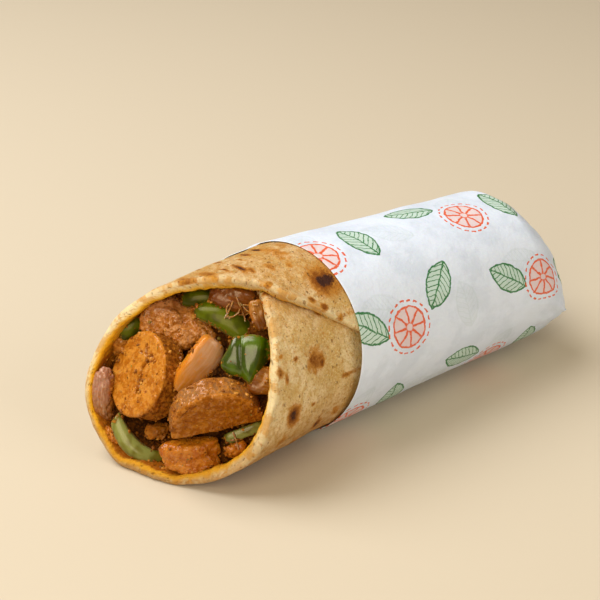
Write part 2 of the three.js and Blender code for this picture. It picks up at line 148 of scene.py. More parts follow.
def middle_height(x):
    forward = np.maximum(-x, 0) / MOUTH_LENGTH
    return SLEEVE_RADIUS - TAPER * np.maximum(x, 0) - SAG - MOUTH_DROP * forward


def bread_point(x, angle, depth):
    """Points in the rolled bread, at a depth below its outer face."""
    forward = np.maximum(-x, 0) / MOUTH_LENGTH
    turn = np.radians(angle)
    oval = (OVAL[0] * np.cos(2 * turn) + OVAL[1] * np.sin(2 * turn)
            + OVAL[2] * np.cos(3 * turn) + OVAL[3] * np.sin(3 * turn))
    radius = (BREAD_RADIUS - TAPER * np.maximum(x, 0)
              + FLARE[0] * forward + FLARE[1] * forward ** 2 + forward * oval)
    lean = LEAN[0] * forward + LEAN[1] * forward ** 2
    lift = PAPER_LIFT * np.clip(1 + x / LIFT_LENGTH, 0, 1)
    y = lean - (radius - depth) * np.cos(turn)
    z = middle_height(x) + (radius - depth) * np.sin(turn)
    return np.stack([x, y, np.maximum(z, lift + np.maximum(depth, 0))], axis=-1)


def sheet_depth(angle):
    return LAP * smoothstep(angle, *FLAP_LANDS)


def smooth_line(points, steps=24):
    """A smooth line through given points, as an array of points."""
    points = [Vector(point) for point in points]
    line = []
    for i in range(len(points) - 1):
        before, start, end = points[max(i - 1, 0)], points[i], points[i + 1]
        after = points[min(i + 2, len(points) - 1)]
        for t in np.arange(steps) / steps:
            line.append(0.5 * (2 * start + (end - before) * t
                               + (2 * before - 5 * start + 4 * end - after) * t * t
                               + (3 * start - before - 3 * end + after) * t ** 3))
    return np.array(line + [points[-1]])


def waves(points, pitch, seed):
    """Smooth uneven values in about -1..1 at points, with bumps about one pitch apart."""
    shift = Vector((seed * 17.1, seed * 5.7, seed * 9.3))
    return np.array([noise.noise(Vector(p) / pitch + shift) for p in points]) * 1.6


def spots(piece):
    """The places of a mesh's vertices."""
    places = np.empty(len(piece.data.vertices) * 3)
    piece.data.vertices.foreach_get("co", places)
    return places.reshape(-1, 3)


def move_spots(piece, places):
    piece.data.vertices.foreach_set("co", np.asarray(places, float).ravel())
    piece.data.update()


def paint(piece, name, values):
    """Keeps a value per vertex, for the material to read."""
    piece.data.attributes.new(name, "FLOAT", "POINT").data.foreach_set("value", values)


def map_corners(piece, name, across, along):
    """A UV map in metres, from millimetres per vertex."""
    corner = np.empty(len(piece.data.loops), int)
    piece.data.loops.foreach_get("vertex_index", corner)
    layer = piece.data.uv_layers.new(name=name)
    layer.data.foreach_set("uv", (np.stack([across, along], -1)[corner] * MM).ravel())


def griddle_marks(angle, x, marks):
    """How strongly each point of the sheet is marked, from the strongest mark near it."""
    strongest = np.zeros(len(x))
    for turn, station, across, along, strength in marks:
        off = np.minimum(np.abs(angle - turn), np.abs(angle + 360 - turn))
        distance = np.hypot(np.radians(off) * BREAD_RADIUS / across, (x - station) / along)
        strongest = np.maximum(strongest, strength * (1 - smoothstep(distance, 0.0, 1.8)))
    return strongest


def close_border(piece, chosen, close):
    """Closes the open edges between the chosen vertices with a mesh operator."""
    mesh = piece.data
    uses = {}
    for polygon in mesh.polygons:
        for key in polygon.edge_keys:
            uses[key] = uses.get(key, 0) + 1
    bpy.ops.object.mode_set(mode="EDIT")
    bpy.ops.mesh.select_mode(type="EDGE")
    bpy.ops.mesh.select_all(action="DESELECT")
    bpy.ops.object.mode_set(mode="OBJECT")
    for edge in mesh.edges:
        a, b = edge.vertices
        edge.select = bool(uses.get(edge.key) == 1 and chosen[a] and chosen[b])
    bpy.ops.object.mode_set(mode="EDIT")
    close()
    bpy.ops.mesh.select_all(action="SELECT")
    bpy.ops.mesh.normals_make_consistent(inside=False)
    bpy.ops.object.mode_set(mode="OBJECT")


def sheet_shares():
    """How far each row of the sheet lies along its stretch: under the paper, outside, round the
    rim as a turn, down the mouth, and under the paper again."""
    hidden = np.linspace(1, 0, HIDDEN_ROWS, endpoint=False)
    visible = np.linspace(1, 0, VISIBLE_ROWS, endpoint=False)
    rim = np.linspace(0, math.pi, RIM_ROWS)
    mouth = np.linspace(0, 1, MOUTH_ROWS + 1)[1:]
    return np.concatenate([hidden, visible, rim, mouth, hidden[::-1]])


def along_rim(angle):
    """Points on a straight line, as far along it as each turn angle is round the roll."""
    around = np.radians(angle) * BREAD_RADIUS
    return np.stack([around, 0 * around, 0 * around], -1)


def uneven_edge(angle):
    """How far forward the sheet reaches at each turn angle."""
    edge = smooth_line(BREAD_EDGE)
    front = np.interp(-angle, -edge[:, 0], edge[:, 1])
    line = along_rim(angle)
    return front + 0.35 * waves(line, 8, 1) + 0.12 * waves(line, 2.4, 6)


def lay_rows(row, front):
    """The station and the depth of each spot of the sheet, from its row and the edge there."""
    share = sheet_shares()[row]
    rim_start = HIDDEN_ROWS + VISIBLE_ROWS
    mouth_start = rim_start + RIM_ROWS
    on_rim = (row >= rim_start) & (row < mouth_start)
    under_paper = (row < HIDDEN_ROWS) | (row >= mouth_start + MOUTH_ROWS)
    knee = np.maximum(0, front + 2)
    nose = 0.42 * BREAD
    x = np.where(under_paper, knee + (BREAD_END - knee) * share,
                 front + nose + (knee - front - nose) * share)
    x = np.where(on_rim, front + nose * (1 - np.sin(share) ** 0.8), x)
    depth = np.where(on_rim, BREAD / 2 * (1 - np.cos(share)),
                     np.where(row >= mouth_start, BREAD, 0))
    return x, depth


def uneven_depth(x, angle, depth, front):
    """The depth of each spot with the sheet's relief: blisters, a swollen rim, and the flap,
    which stands up a little."""
    line = along_rim(angle)
    at = np.stack([line[:, 0], x, depth * 3], -1)
    relief = waves(at, 13, 2) * 0.26 + waves(at, 4.5, 3) * 0.14 + waves(at, 1.6, 4) * 0.06
    relief *= smoothstep(-x - CORNER_REACH * between(-angle, CORNER_TURNS), -4, 3)
    swell = 0.85 + 0.45 * waves(line, 4.5, 5) + 0.25 * waves(line, 1.8, 7)
    below = sheet_depth(angle) + depth + np.where(depth > 0, 0.6 * relief, -relief)
    below += swell * (depth / BREAD) * smoothstep(front + 7 - x, 0, 5) * smoothstep(-x, -2, 4)
    flap = smoothstep(-angle, *FLAP_TURNS) * smoothstep(-x, -1, 7)
    below -= FLAP_RISE * flap * smoothstep(front + 6 - x, 0, 5)
    return below - 0.4 * (1 - depth / BREAD) * smoothstep(x, -5, -1)


def paint_bread(sheet, x, angle, depth, front):
    """What the material reads: where the sheet is inside, browner, in painted shade underneath,
    marked or soaked with oil.
    """
    outside = depth < BREAD * 0.4
    lower_left = smoothstep(np.cos(np.radians(angle - LOWER_LEFT)), 0.2, 0.8)
    soaked = np.maximum(smoothstep(x - front, 3, 9), lower_left * smoothstep(x - front, 0.2, 2.2))
    rise = np.sin(np.radians(angle))
    paint(sheet, "inner", smoothstep(depth, BREAD * 0.6, BREAD))
    paint(sheet, "gold", smoothstep(depth, BREAD * 0.45, BREAD * 0.95))
    paint(sheet, "rim", np.where(outside, smoothstep(front + 3.8 - x, 0, 2.6), 1))
    paint(sheet, "stain", np.where(outside, 0, soaked))
    # Darker on the underside, where the sheet turns under, which is painted shade; a little browner
    # on top.
    paint(sheet, "brown_and_shade", np.maximum(smoothstep(-rise, -0.1, 0.9), 0.6 * smoothstep(rise, 0.5, 1)))
    paint(sheet, "toast", griddle_marks(angle, x, TOAST_MARKS) * outside)
    paint(sheet, "burnt", griddle_marks(angle, x, BURNT_MARKS) * outside)
    map_corners(sheet, "sheet", np.radians(angle) * BREAD_RADIUS,
                np.where(outside, x, 2 * front - x - depth))


def rolled_sheet():
    """The flatbread: a grid whose rows run forward over the outer face, round the rim and back
    along the inner face, wrapped round the filling."""
    last_row = len(sheet_shares()) - 1
    bpy.ops.mesh.primitive_grid_add(x_subdivisions=BREAD_COLUMNS, y_subdivisions=last_row, size=1)
    sheet = bpy.context.object
    sheet.name = "bread_roll"
    flat = spots(sheet) + 0.5
    column = np.rint(flat[:, 0] * BREAD_COLUMNS).astype(int)
    row = np.rint(flat[:, 1] * last_row).astype(int)
    first, last = BREAD_EDGE[0][0], BREAD_EDGE[-1][0]
    angle = first + (last - first) * column / BREAD_COLUMNS
    front = uneven_edge(angle)
    x, depth = lay_rows(row, front)
    move_spots(sheet, in_frame(bread_point(x, angle, uneven_depth(x, angle, depth, front))))
    paint_bread(sheet, x, angle, depth, front)
    close_border(sheet, (row == 0) | (row == last_row), bpy.ops.mesh.bridge_edge_loops)
    close_border(sheet, column == 0, bpy.ops.mesh.edge_face_add)
    close_border(sheet, column == BREAD_COLUMNS, bpy.ops.mesh.edge_face_add)
    return sheet


def add(tree, kind, inputs=None, **settings):
    """A shader node with its settings and inputs: a socket is linked, a value is set."""
    made = tree.nodes.new(kind)
    for name, value in settings.items():
        setattr(made, name, value)
    for name, value in (inputs or {}).items():
        if isinstance(value, bpy.types.NodeSocket):
            tree.links.new(value, made.inputs[name])
        else:
            made.inputs[name].default_value = value
    return made


def calc(tree, operation, *values):
    return add(tree, "ShaderNodeMath", dict(enumerate(values)), operation=operation).outputs[0]


def times(tree, first, second):
    return calc(tree, "MULTIPLY", first, second)


def vector_calc(tree, operation, *vectors):
    return add(tree, "ShaderNodeVectorMath", dict(enumerate(vectors)),
               operation=operation).outputs[0]


def ramp(tree, value, low, high, start=0.0, end=1.0):
    """A value that goes smoothly from start to end while the input goes from low to high."""
    sockets = {"Value": value, "From Min": low, "From Max": high, "To Min": start, "To Max": end}
    return add(tree, "ShaderNodeMapRange", sockets,
               interpolation_type="SMOOTHSTEP").outputs["Result"]


def mix(tree, amount, first, second):
    return add(tree, "ShaderNodeMix", {0: amount, 6: first, 7: second},
               data_type="RGBA").outputs[2]


def blend(tree, base, other, value, low, high, most=1.0):
    """The base colour, turning to the other while a value goes from low to high."""
    return mix(tree, ramp(tree, value, low, high, 0, most), base, other)


def cloud(tree, vector, scale, detail=3, roughness=0.55):
    return add(tree, "ShaderNodeTexNoise", {"Vector": vector, "Scale": scale, "Detail": detail,
                                            "Roughness": roughness}).outputs["Fac"]


def map_place(tree, name):
    """The place on a piece's UV map, in millimetres."""
    place = add(tree, "ShaderNodeUVMap", uv_map=name).outputs["UV"]
    return vector_calc(tree, "MULTIPLY", place, (1 / MM, 1 / MM, 1 / MM))


def own_place(tree):
    """The place in the roll, in millimetres."""
    place = add(tree, "ShaderNodeTexCoord").outputs["Object"]
    return vector_calc(tree, "MULTIPLY", place, (1 / MM, 1 / MM, 1 / MM))


def value_of(tree, name):
    return add(tree, "ShaderNodeAttribute", attribute_name=name).outputs["Fac"]


def raise_skin(tree, shader, height, strength, distance):
    """Bump from a height, over a distance in millimetres."""
    bump = add(tree, "ShaderNodeBump", {"Height": height, "Strength": strength,
                                        "Distance": distance * MM})
    tree.links.new(bump.outputs["Normal"], shader.inputs["Normal"])


def new_group(name, values, results):
    """A shader node group that takes a vector and the named values and gives the named results,
    with the sockets inside it."""
    group = bpy.data.node_groups.new(name, "ShaderNodeTree")
    group.interface.new_socket("Vector", in_out="INPUT", socket_type="NodeSocketVector")
    for label in values:
        group.interface.new_socket(label, in_out="INPUT", socket_type="NodeSocketFloat")
    for label in results:
        group.interface.new_socket(label, in_out="OUTPUT", socket_type="NodeSocketFloat")
    given = group.nodes.new("NodeGroupInput").outputs
    result = group.nodes.new("NodeGroupOutput").inputs
    return group, given, result


def new_material(name, roughness, specular, coat=0.0, subsurface=0.0, glint=OILY_GLINT):
    material = bpy.data.materials.new(name)
    material.use_nodes = True
    tree = material.node_tree
    shader = tree.nodes["Principled BSDF"]
    shader.inputs["Roughness"].default_value = roughness
    shader.inputs["Specular IOR Level"].default_value = specular
    shader.inputs["Specular Tint"].default_value = glint
    shader.inputs["Coat Weight"].default_value = coat
    shader.inputs["Coat Roughness"].default_value = 0.16
    shader.inputs["Subsurface Weight"].default_value = subsurface
    shader.inputs["Subsurface Radius"].default_value = (1.0, 0.4, 0.12)
    shader.inputs["Subsurface Scale"].default_value = 1.6 * MM
    return material, tree, shader


def speck_group():
    """Scattered specks: cells of which only a share holds one, of the given size."""
    group, given, result = new_group("specks", ("Scale", "Size", "Share"), ("Mask",))
    cells = add(group, "ShaderNodeTexVoronoi", {"Vector": given["Vector"],
                                                "Scale": given["Scale"]})
    draw = add(group, "ShaderNodeSeparateColor", {"Color": cells.outputs["Color"]})
    size = times(group, given["Size"],
                 calc(group, "MULTIPLY_ADD", draw.outputs["Green"], 0.9, 0.35))
    near = ramp(group, cells.outputs["Distance"], size, times(group, size, 0.5))
    held = calc(group, "LESS_THAN", draw.outputs["Red"], given["Share"])
    group.links.new(times(group, near, held), result["Mask"])
    return group


SPECKS = speck_group()


def specks(tree, vector, scale, size, share):
    return add(tree, "ShaderNodeGroup", {"Vector": vector, "Scale": scale, "Size": size,
                                         "Share": share}, node_tree=SPECKS).outputs["Mask"]


def bare_bread(tree, mask, broad, small, grain):
    """Cream and tan dough, paler at the rim, and browner and darker below: painted shade where the
    sheet turns under.
    """
    colour = blend(tree, BREAD_CREAM, BREAD_TAN, broad, 0.38, 0.64)
    colour = blend(tree, colour, BREAD_TAN, small, 0.47, 0.62, 0.9)
    colour = blend(tree, colour, BREAD_RIM, grain, 0.54, 0.64, 0.7)
    colour = blend(tree, colour, BREAD_HALO, grain, 0.46, 0.36, 0.5)
    colour = mix(tree, times(tree, mask["rim"], 0.8), colour, BREAD_RIM)
    # Painted shade: the underside mask mixes in the deep bread tone, broken up by the small cloud.
    browning_and_shade = times(tree, mask["brown_and_shade"], ramp(tree, small, 0.30, 0.60, 0.5, 0.95))
    browning_and_shade = times(tree, browning_and_shade, ramp(tree, mask["rim"], 0, 1, 1, 0.8))
    return mix(tree, browning_and_shade, colour, BREAD_BROWN)


def griddled(tree, colour, mask, small, grain):
    """Marks with ragged edges: a halo, the toasted middle and what is burnt."""
    ragged = calc(tree, "MULTIPLY_ADD", small, 1.1, calc(tree, "MULTIPLY_ADD", grain, 0.8, -0.95))
    edge = calc(tree, "MULTIPLY_ADD", ragged, 1.1, times(tree, mask["toast"], 1.35))
    colour = blend(tree, colour, BREAD_HALO, edge, 0.12, 0.62, 0.9)
    colour = blend(tree, colour, BREAD_TOAST, edge, 0.50, 1.05, 0.95)
    edge = calc(tree, "MULTIPLY_ADD", ragged, 0.8, mask["burnt"])
    return blend(tree, colour, BREAD_BURNT, edge, 0.30, 0.62, 0.95)


def stained(tree, colour, mask, oiled, blotch, small):
    """The golden inner face and the rim, darker where the oil has soaked in, and darker low on the
    roll as painted shade.
    """
    golden = times(tree, mask["gold"], ramp(tree, blotch, 0.36, 0.50, 0.35, 0.9))
    colour = mix(tree, golden, colour, BREAD_GOLD)
    colour = mix(tree, times(tree, oiled, 0.6), colour, BREAD_OIL)
    colour = mix(tree, times(tree, mask["inner"], 0.9), colour, BREAD_INSIDE)
    # Painted shade: low on the roll, where the sheet turns under, the golden rim and inner face
    # darken towards the oil's colour.
    low = times(tree, mask["gold"], ramp(tree, mask["brown_and_shade"], 0.6, 1.0, 0, 0.6))
    colour = mix(tree, low, colour, BREAD_OIL)
    soaked = calc(tree, "MULTIPLY_ADD", small, 1.4, calc(tree, "ADD", mask["stain"], -0.95))
    return blend(tree, colour, BREAD_STAIN, soaked, 0.0, 0.5, 0.92)


def bread_material():
    material, tree, shader = new_material("griddled_bread", 0.6, specular=0.2, subsurface=0.1)
    place = map_place(tree, "sheet")
    drawn_out = vector_calc(tree, "MULTIPLY", place, (0.5, 1, 1))
    mask = {name: value_of(tree, name)
            for name in ("inner", "gold", "rim", "stain", "brown_and_shade", "toast", "burnt")}
    broad = cloud(tree, place, 0.09, 4)
    small = cloud(tree, place, 0.45, 5, 0.65)
    grain = cloud(tree, place, 1.5, 4, 0.65)
    streaks = cloud(tree, drawn_out, 0.75, 4, 0.6)
    blotch = cloud(tree, place, 0.17, 4, 0.6)
    oiled = times(tree, mask["rim"], ramp(tree, blotch, 0.50, 0.56))
    pits = calc(tree, "MAXIMUM", specks(tree, drawn_out, 0.75, 0.26, 0.36),
                times(tree, specks(tree, place, 1.5, 0.34, 0.30), 0.7))

    colour = bare_bread(tree, mask, broad, small, grain)
    colour = blend(tree, colour, BREAD_HALO, streaks, 0.56, 0.70, 0.6)
    colour = griddled(tree, colour, mask, small, grain)
    colour = stained(tree, colour, mask, oiled, blotch, small)
    colour = mix(tree, times(tree, pits, 0.6), colour, PIT)
    tree.links.new(colour, shader.inputs["Base Color"])
    wet = calc(tree, "MAXIMUM", oiled, mask["inner"])
    tree.links.new(ramp(tree, wet, 0, 1, 0.6, 0.32), shader.inputs["Roughness"])
    height = calc(tree, "MULTIPLY_ADD", small, 1.1, times(tree, grain, 0.4))
    height = calc(tree, "SUBTRACT", height, times(tree, pits, 0.5))
    raise_skin(tree, shader, height, 0.9, 0.8)
    return material


def finish_piece(piece, material, slot, *nodes):
    """Smooth shading, the material, and the piece's place in the part."""
    piece.data.materials.clear()
    piece.data.materials.append(material)
    for polygon in piece.data.polygons:
        polygon.use_smooth = True
    if nodes:
        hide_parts(*nodes)
    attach(piece, "root")
    piece.select_set(False)


bread = rolled_sheet()
finish_piece(bread, bread_material(), "bread", "flatbread")

# ---- bed of filling ----------------------------------------------------------------------------
# Fine filling cooked down in a thick spice paste. It fills the bread from end to end, and at the
# mouth its lumpy, oily surface shows between the larger pieces that are pressed into it.

MOUTH_PLANE = (-54.6, -0.387, 0.512)   # its station on the floor, and slopes across and up
BED_RECESS = 11.0             # how far inside the mouth the bed's face lies
BED_NEAR = 5.6                # how much closer the bed comes to the mouth low on the far side
BED_TURNS = 230
BED_RINGS = 70
BED_WALL = 6                  # rows along its side

# The paste is kept very dark: partly its own deep colour, partly painted shade for the gaps between
# the pieces where it shows.
MASALA_DARK = (0.038, 0.008, 0.001, 1)
MASALA = (0.12, 0.032, 0.002, 1)
MASALA_LIGHT = (0.27, 0.085, 0.004, 1)
SPICE = (0.045, 0.014, 0.004, 1)


def mouth_plane(y, z, recess=0.0):
    return MOUTH_PLANE[0] + MOUTH_PLANE[1] * y + MOUTH_PLANE[2] * z + recess


def inside_depth(angle):
    """How deep the bed's side lies below the bread's outer face, at each turn angle."""
    step = LAP * smoothstep(BREAD_EDGE[0][0] - 360 - angle, -34, -4)
    return BREAD + 0.3 + np.maximum(sheet_depth(angle), step)


def filling_bed():
    """A grid rolled up to a disc in the mouth, whose outer rows run back inside the bread."""
    bpy.ops.mesh.primitive_grid_add(x_subdivisions=BED_TURNS, y_subdivisions=BED_RINGS + BED_WALL,
                                    size=1)
    bed = bpy.context.object
    bed.name = "masala_bed"
    flat = spots(bed) + 0.5
    angle = flat[:, 0] * 360 + BREAD_EDGE[0][0] - 360
    row = np.rint(flat[:, 1] * (BED_RINGS + BED_WALL))
    depth = inside_depth(angle)
    reach = np.clip(row / BED_RINGS, 0, 1)
    wall = np.clip((row - BED_RINGS) / BED_WALL, 0, 1)
    start = np.full(len(row), MOUTH_PLANE[0] * 0.7)
    for _ in range(4):
        rim = bread_point(start, angle, depth)
        start = mouth_plane(rim[:, 1], rim[:, 2], BED_RECESS)
    centre = rim.mean(0)
    y = centre[1] + (rim[:, 1] - centre[1]) * reach
    z = centre[2] + (rim[:, 2] - centre[2]) * reach
    banked = smoothstep(np.cos(np.radians(angle - LOWER_LEFT)), 0.1, 0.8)
    banked *= smoothstep(reach, 0.62, 0.97)
    front = np.stack([mouth_plane(y, z, BED_RECESS - BED_NEAR * banked), y, z], -1)
    lumps = (waves(front, 7.5, 11) * 1.5 + waves(front, 2.8, 12) * 0.9
             + waves(front, 1.1, 13) * 0.32)
    front[:, 0] -= lumps * smoothstep(1 - reach, 0, 0.05)
    start = start - BED_NEAR * banked
    back = bread_point(start + (BREAD_END - start) * wall, angle, depth)
    move_spots(bed, in_frame(np.where((wall > 0)[:, None], back, front)))
    bpy.ops.object.mode_set(mode="EDIT")
    bpy.ops.mesh.select_all(action="SELECT")
    bpy.ops.mesh.remove_doubles(threshold=0.02 * MM)
    bpy.ops.object.mode_set(mode="OBJECT")
    close_border(bed, np.ones(len(bed.data.vertices), bool), bpy.ops.mesh.edge_face_add)
    return bed


def masala_material():
    material, tree, shader = new_material("masala_paste", 0.45, specular=0.16, subsurface=0.1)
    place = own_place(tree)
    broad = cloud(tree, place, 0.25, 4, 0.6)
    grain = cloud(tree, place, 1.1, 5, 0.7)
    colour = blend(tree, MASALA_DARK, MASALA, broad, 0.42, 0.62)
    colour = blend(tree, colour, MASALA_LIGHT, grain, 0.50, 0.68, 0.8)
    colour = mix(tree, specks(tree, place, 0.9, 0.2, 0.4), colour, SPICE)
    tree.links.new(colour, shader.inputs["Base Color"])
    tree.links.new(ramp(tree, grain, 0.3, 0.7, 0.28, 0.6), shader.inputs["Roughness"])
    raise_skin(tree, shader, grain, 0.9, 0.7)
    return material


bed = filling_bed()
masala = masala_material()
finish_piece(bed, masala, "masala", "filling_bed")

# ---- soya chaap --------------------------------------------------------------------------------
# Soya chaap is a kneaded soya dough, wound on a stick, boiled and roasted: inside it is dense and
# finely fibrous, outside it has a browned skin. Sticks are cut in slices, and some are torn.

TO_VIEWER = (-0.56, -0.69, 0.45)       # directions as one looks into the mouth
TO_RIGHT = (0.77, -0.63, 0)

CHAAP_OIL = (0.56, 0.20, 0.016, 1)
# Painted shade, for the sunk cracks and pits of the cut faces.
CRACK_SHADE = (0.20, 0.045, 0.003, 1)
HERB = (0.16, 0.17, 0.03, 1)

# On the cut faces, in millimetres from the stick's middle. Each crack: line, half width, depth.
SLICE_CRACKS = (
    ([(-1.7, -4.5), (-1.1, -2.3), (-2.0, 0.3), (-1.6, 1.6), (-3.2, 4.6)], 0.9, 1.5),
    ([(1.1, -9.0), (-0.3, -6.5), (-1.7, -4.5)], 0.6, 0.7), ([(-1.7, -4.5), (-5.5, -6.2)], 0.5, 0.4))
HALF_CRACKS = (([(-9.5, 7.6), (-6.5, 10.2), (-2.5, 11.4)], 0.6, 0.5),)

# Each pit: middle, radius, depth.
SLICE_PITS = ((2.4, -6.2, 0.7, 0.9), (-3.2, -7.1, 0.8, 0.8), (5.6, 1.5, 0.5, 0.6),
              (4.0, -2.4, 0.6, 0.5), (-7.0, 3.0, 0.6, 0.5))


def settle(piece, at, facing, along):
    """Puts a piece made round the origin, in millimetres, in its place in the roll, its +Z turned
    to `facing` and its +X along `along`."""
    z_axis = Vector(facing).normalized()
    x_axis = Vector(along)
    x_axis = (x_axis - x_axis.dot(z_axis) * z_axis).normalized()
    turn = Matrix((x_axis, z_axis.cross(x_axis), z_axis)).transposed().to_4x4()
    turn.translation = Vector(at)
    piece.data.transform(Matrix.Translation(ORIGIN) @ Matrix.Scale(MM, 4) @ turn)
    piece.data.update()


def apply_modifier(piece, kind, **settings):
    bpy.context.view_layer.objects.active = piece
    modifier = piece.modifiers.new(kind.lower(), kind)
    for name, value in settings.items():
        setattr(modifier, name, value)
    bpy.ops.object.modifier_apply(modifier=modifier.name)


def crumble(piece, *layers, share=1.0):
    """Makes the skin of a piece uneven by layers of relief: pitch, height, seed, and how much of
    the layer is sharp creases instead of soft swellings."""
    mesh = piece.data
    normals = np.empty(len(mesh.vertices) * 3)
    mesh.vertices.foreach_get("normal", normals)
    places = spots(piece)
    push = np.zeros(len(places))
    for pitch, height, seed, creased in layers:
        wave = waves(places, pitch, seed)
        push += height * ((1 - creased) * wave + creased * (0.45 - 1.6 * np.abs(wave)))
    move_spots(piece, places + normals.reshape(-1, 3) * (push * share)[:, None])


def near_line(points, line):
    """Distance of points from a line of straight parts."""
    nearest = np.full(len(points), np.inf)
    for a, b in zip(np.array(line)[:-1], np.array(line)[1:]):
        share = np.clip((points - a) @ (b - a) / ((b - a) @ (b - a)), 0, 1)
        gap = np.linalg.norm(points - a - share[:, None] * (b - a), axis=1)
        nearest = np.minimum(nearest, gap)
    return nearest


def cut_slice(name, radius, length, chord=None, cracks=(), pits=()):
    """A slice of a stick with its cut face at z = 0. A chord leaves the half above it."""
    bpy.ops.mesh.primitive_cylinder_add(vertices=96, radius=radius, depth=length,
                                        location=(0, 0, -length / 2))
    piece = bpy.context.object
    piece.name = name
    bpy.ops.object.transform_apply(location=True, rotation=True, scale=True)
    if chord is not None:
        bpy.ops.object.mode_set(mode="EDIT")
        bpy.ops.mesh.select_all(action="SELECT")
        bpy.ops.mesh.bisect(plane_co=(0, -chord, 0), plane_no=(0, 1, 0), clear_inner=True,
                            use_fill=True)
        bpy.ops.object.mode_set(mode="OBJECT")
    apply_modifier(piece, "BEVEL", width=0.9, segments=3, limit_method="ANGLE",
                   angle_limit=math.radians(50))
    apply_modifier(piece, "REMESH", mode="VOXEL", voxel_size=0.27)
    apply_modifier(piece, "SMOOTH", factor=0.5, iterations=5)

    places = spots(piece)
    face = smoothstep(places[:, 2], -1.0, -0.6)
    paint(piece, "cut", face)
    paint(piece, "reach", np.hypot(places[:, 0], places[:, 1]) / radius)
    wander = 0.3 * waves(places, 1.1, 9)
    painted_crack_shade = np.zeros(len(places))
    for line, width, depth in cracks:
        gap = np.abs(near_line(places[:, :2], line) + wander)
        share = face * (1 - smoothstep(gap, 0, width))
        places[:, 2] -= depth * share
        painted_crack_shade = np.maximum(painted_crack_shade, share)
    for x, y, width, depth in pits:
        gap = np.hypot(places[:, 0] - x, places[:, 1] - y) + wander * 0.5
        share = face * (1 - smoothstep(gap, 0, width))
        places[:, 2] -= depth * share
        painted_crack_shade = np.maximum(painted_crack_shade, share)
    move_spots(piece, places)
    # The material paints shade into the sunk cracks and pits.
    paint(piece, "crack_shade", painted_crack_shade)
    return piece


def chaap_material(name, face, pale, deep, skin, skin_pale, gloss=0.0):
    """Roasted chaap: a crumb speckled with spice where it is cut, under a skin the roasting turned
    browner, with painted shade in its sunk cracks and pits.
    """
    material, tree, shader = new_material(name, 0.5, specular=0.2, subsurface=0.12)
    place = own_place(tree)
    broad = cloud(tree, place, 0.2, 4, 0.6)
    crumb = cloud(tree, place, 0.8, 5, 0.7)
    fine = cloud(tree, place, 2.0, 4, 0.65)
    patch = cloud(tree, place, 0.42, 3, 0.5)
    inside = blend(tree, face, deep, broad, 0.44, 0.62, 0.6)
    inside = blend(tree, inside, pale, patch, 0.46, 0.60, 0.7)
    inside = blend(tree, inside, pale, crumb, 0.50, 0.58, 0.6)
    inside = blend(tree, inside, deep, fine, 0.52, 0.66, 0.4)
    outside = blend(tree, skin, skin_pale, crumb, 0.48, 0.66)
    outside = blend(tree, outside, deep, broad, 0.46, 0.62, 0.7)
    colour = mix(tree, value_of(tree, "cut"), outside, inside)
    edge = ramp(tree, value_of(tree, "reach"), 0.80, 0.97, 0, 0.6)
    edge = times(tree, edge, ramp(tree, crumb, 0.40, 0.60))
    colour = mix(tree, edge, colour, CHAAP_OIL)
    dark = calc(tree, "MAXIMUM", specks(tree, place, 0.62, 0.17, 0.4),
                times(tree, specks(tree, place, 1.6, 0.32, 0.4), 0.8))
    colour = mix(tree, times(tree, dark, 0.7), colour, SPICE)
    herb = specks(tree, place, 0.3, 0.13, 0.35)
    colour = mix(tree, times(tree, herb, 0.8), colour, HERB)
    # Painted shade in the cracks and pits.
    colour = mix(tree, times(tree, value_of(tree, "crack_shade"), 0.8), colour, CRACK_SHADE)
    tree.links.new(colour, shader.inputs["Base Color"])
    tree.links.new(ramp(tree, broad, 0.35, 0.65, 0.34, 0.6), shader.inputs["Roughness"])
    oily = ramp(tree, crumb, 0.48, 0.60, gloss, 0.85)
    tree.links.new(oily, shader.inputs["Coat Weight"])
    height = calc(tree, "MULTIPLY_ADD", fine, 0.4, crumb)
    height = calc(tree, "SUBTRACT", height, times(tree, dark, 0.3))
    raise_skin(tree, shader, height, 0.6, 0.7)
    return material


def torn_lump(name, size, seed, parts, tears):
    """A torn lump: round bits of a few sizes, grown together, then torn flat on some sides and
    roughened there."""
    draw = np.random.default_rng(seed)
    bits = []
    for _ in range(parts):
        bearing = draw.normal(size=3)
        middle = bearing / np.linalg.norm(bearing) * draw.uniform(0.25, 0.62)
        bpy.ops.mesh.primitive_ico_sphere_add(subdivisions=3, radius=draw.uniform(0.32, 0.55),
                                              location=middle)
        bits.append(bpy.context.object)
    for bit in bits:
        bit.select_set(True)
    bpy.context.view_layer.objects.active = bits[0]
    bpy.ops.object.join()
    piece = bpy.context.object
    piece.name = name
    bpy.ops.object.transform_apply(location=True, rotation=True, scale=True)
    places = spots(piece)
    for _ in range(tears):
        bearing = draw.normal(size=3)
        bearing /= np.linalg.norm(bearing)
        past = np.maximum(places @ bearing - draw.uniform(0.42, 0.62), 0)
        places -= 0.85 * past[:, None] * bearing
    move_spots(piece, places * np.array(size) / 2)
    apply_modifier(piece, "REMESH", mode="VOXEL", voxel_size=0.24)
    apply_modifier(piece, "SMOOTH", factor=0.5, iterations=4)
    places = spots(piece) / (np.array(size) / 2)
    torn = smoothstep(0.30 - places[:, 1] + 0.3 * waves(places, 0.6, seed), 0, 0.3)
    paint(piece, "cut", torn)
    crumble(piece, (2.6, 0.35, seed, 0.5))
    crumble(piece, (1.1, 0.28, seed + 1, 0.5), (0.5, 0.12, seed + 2, 0.3), share=0.3 + 0.7 * torn)
    return piece


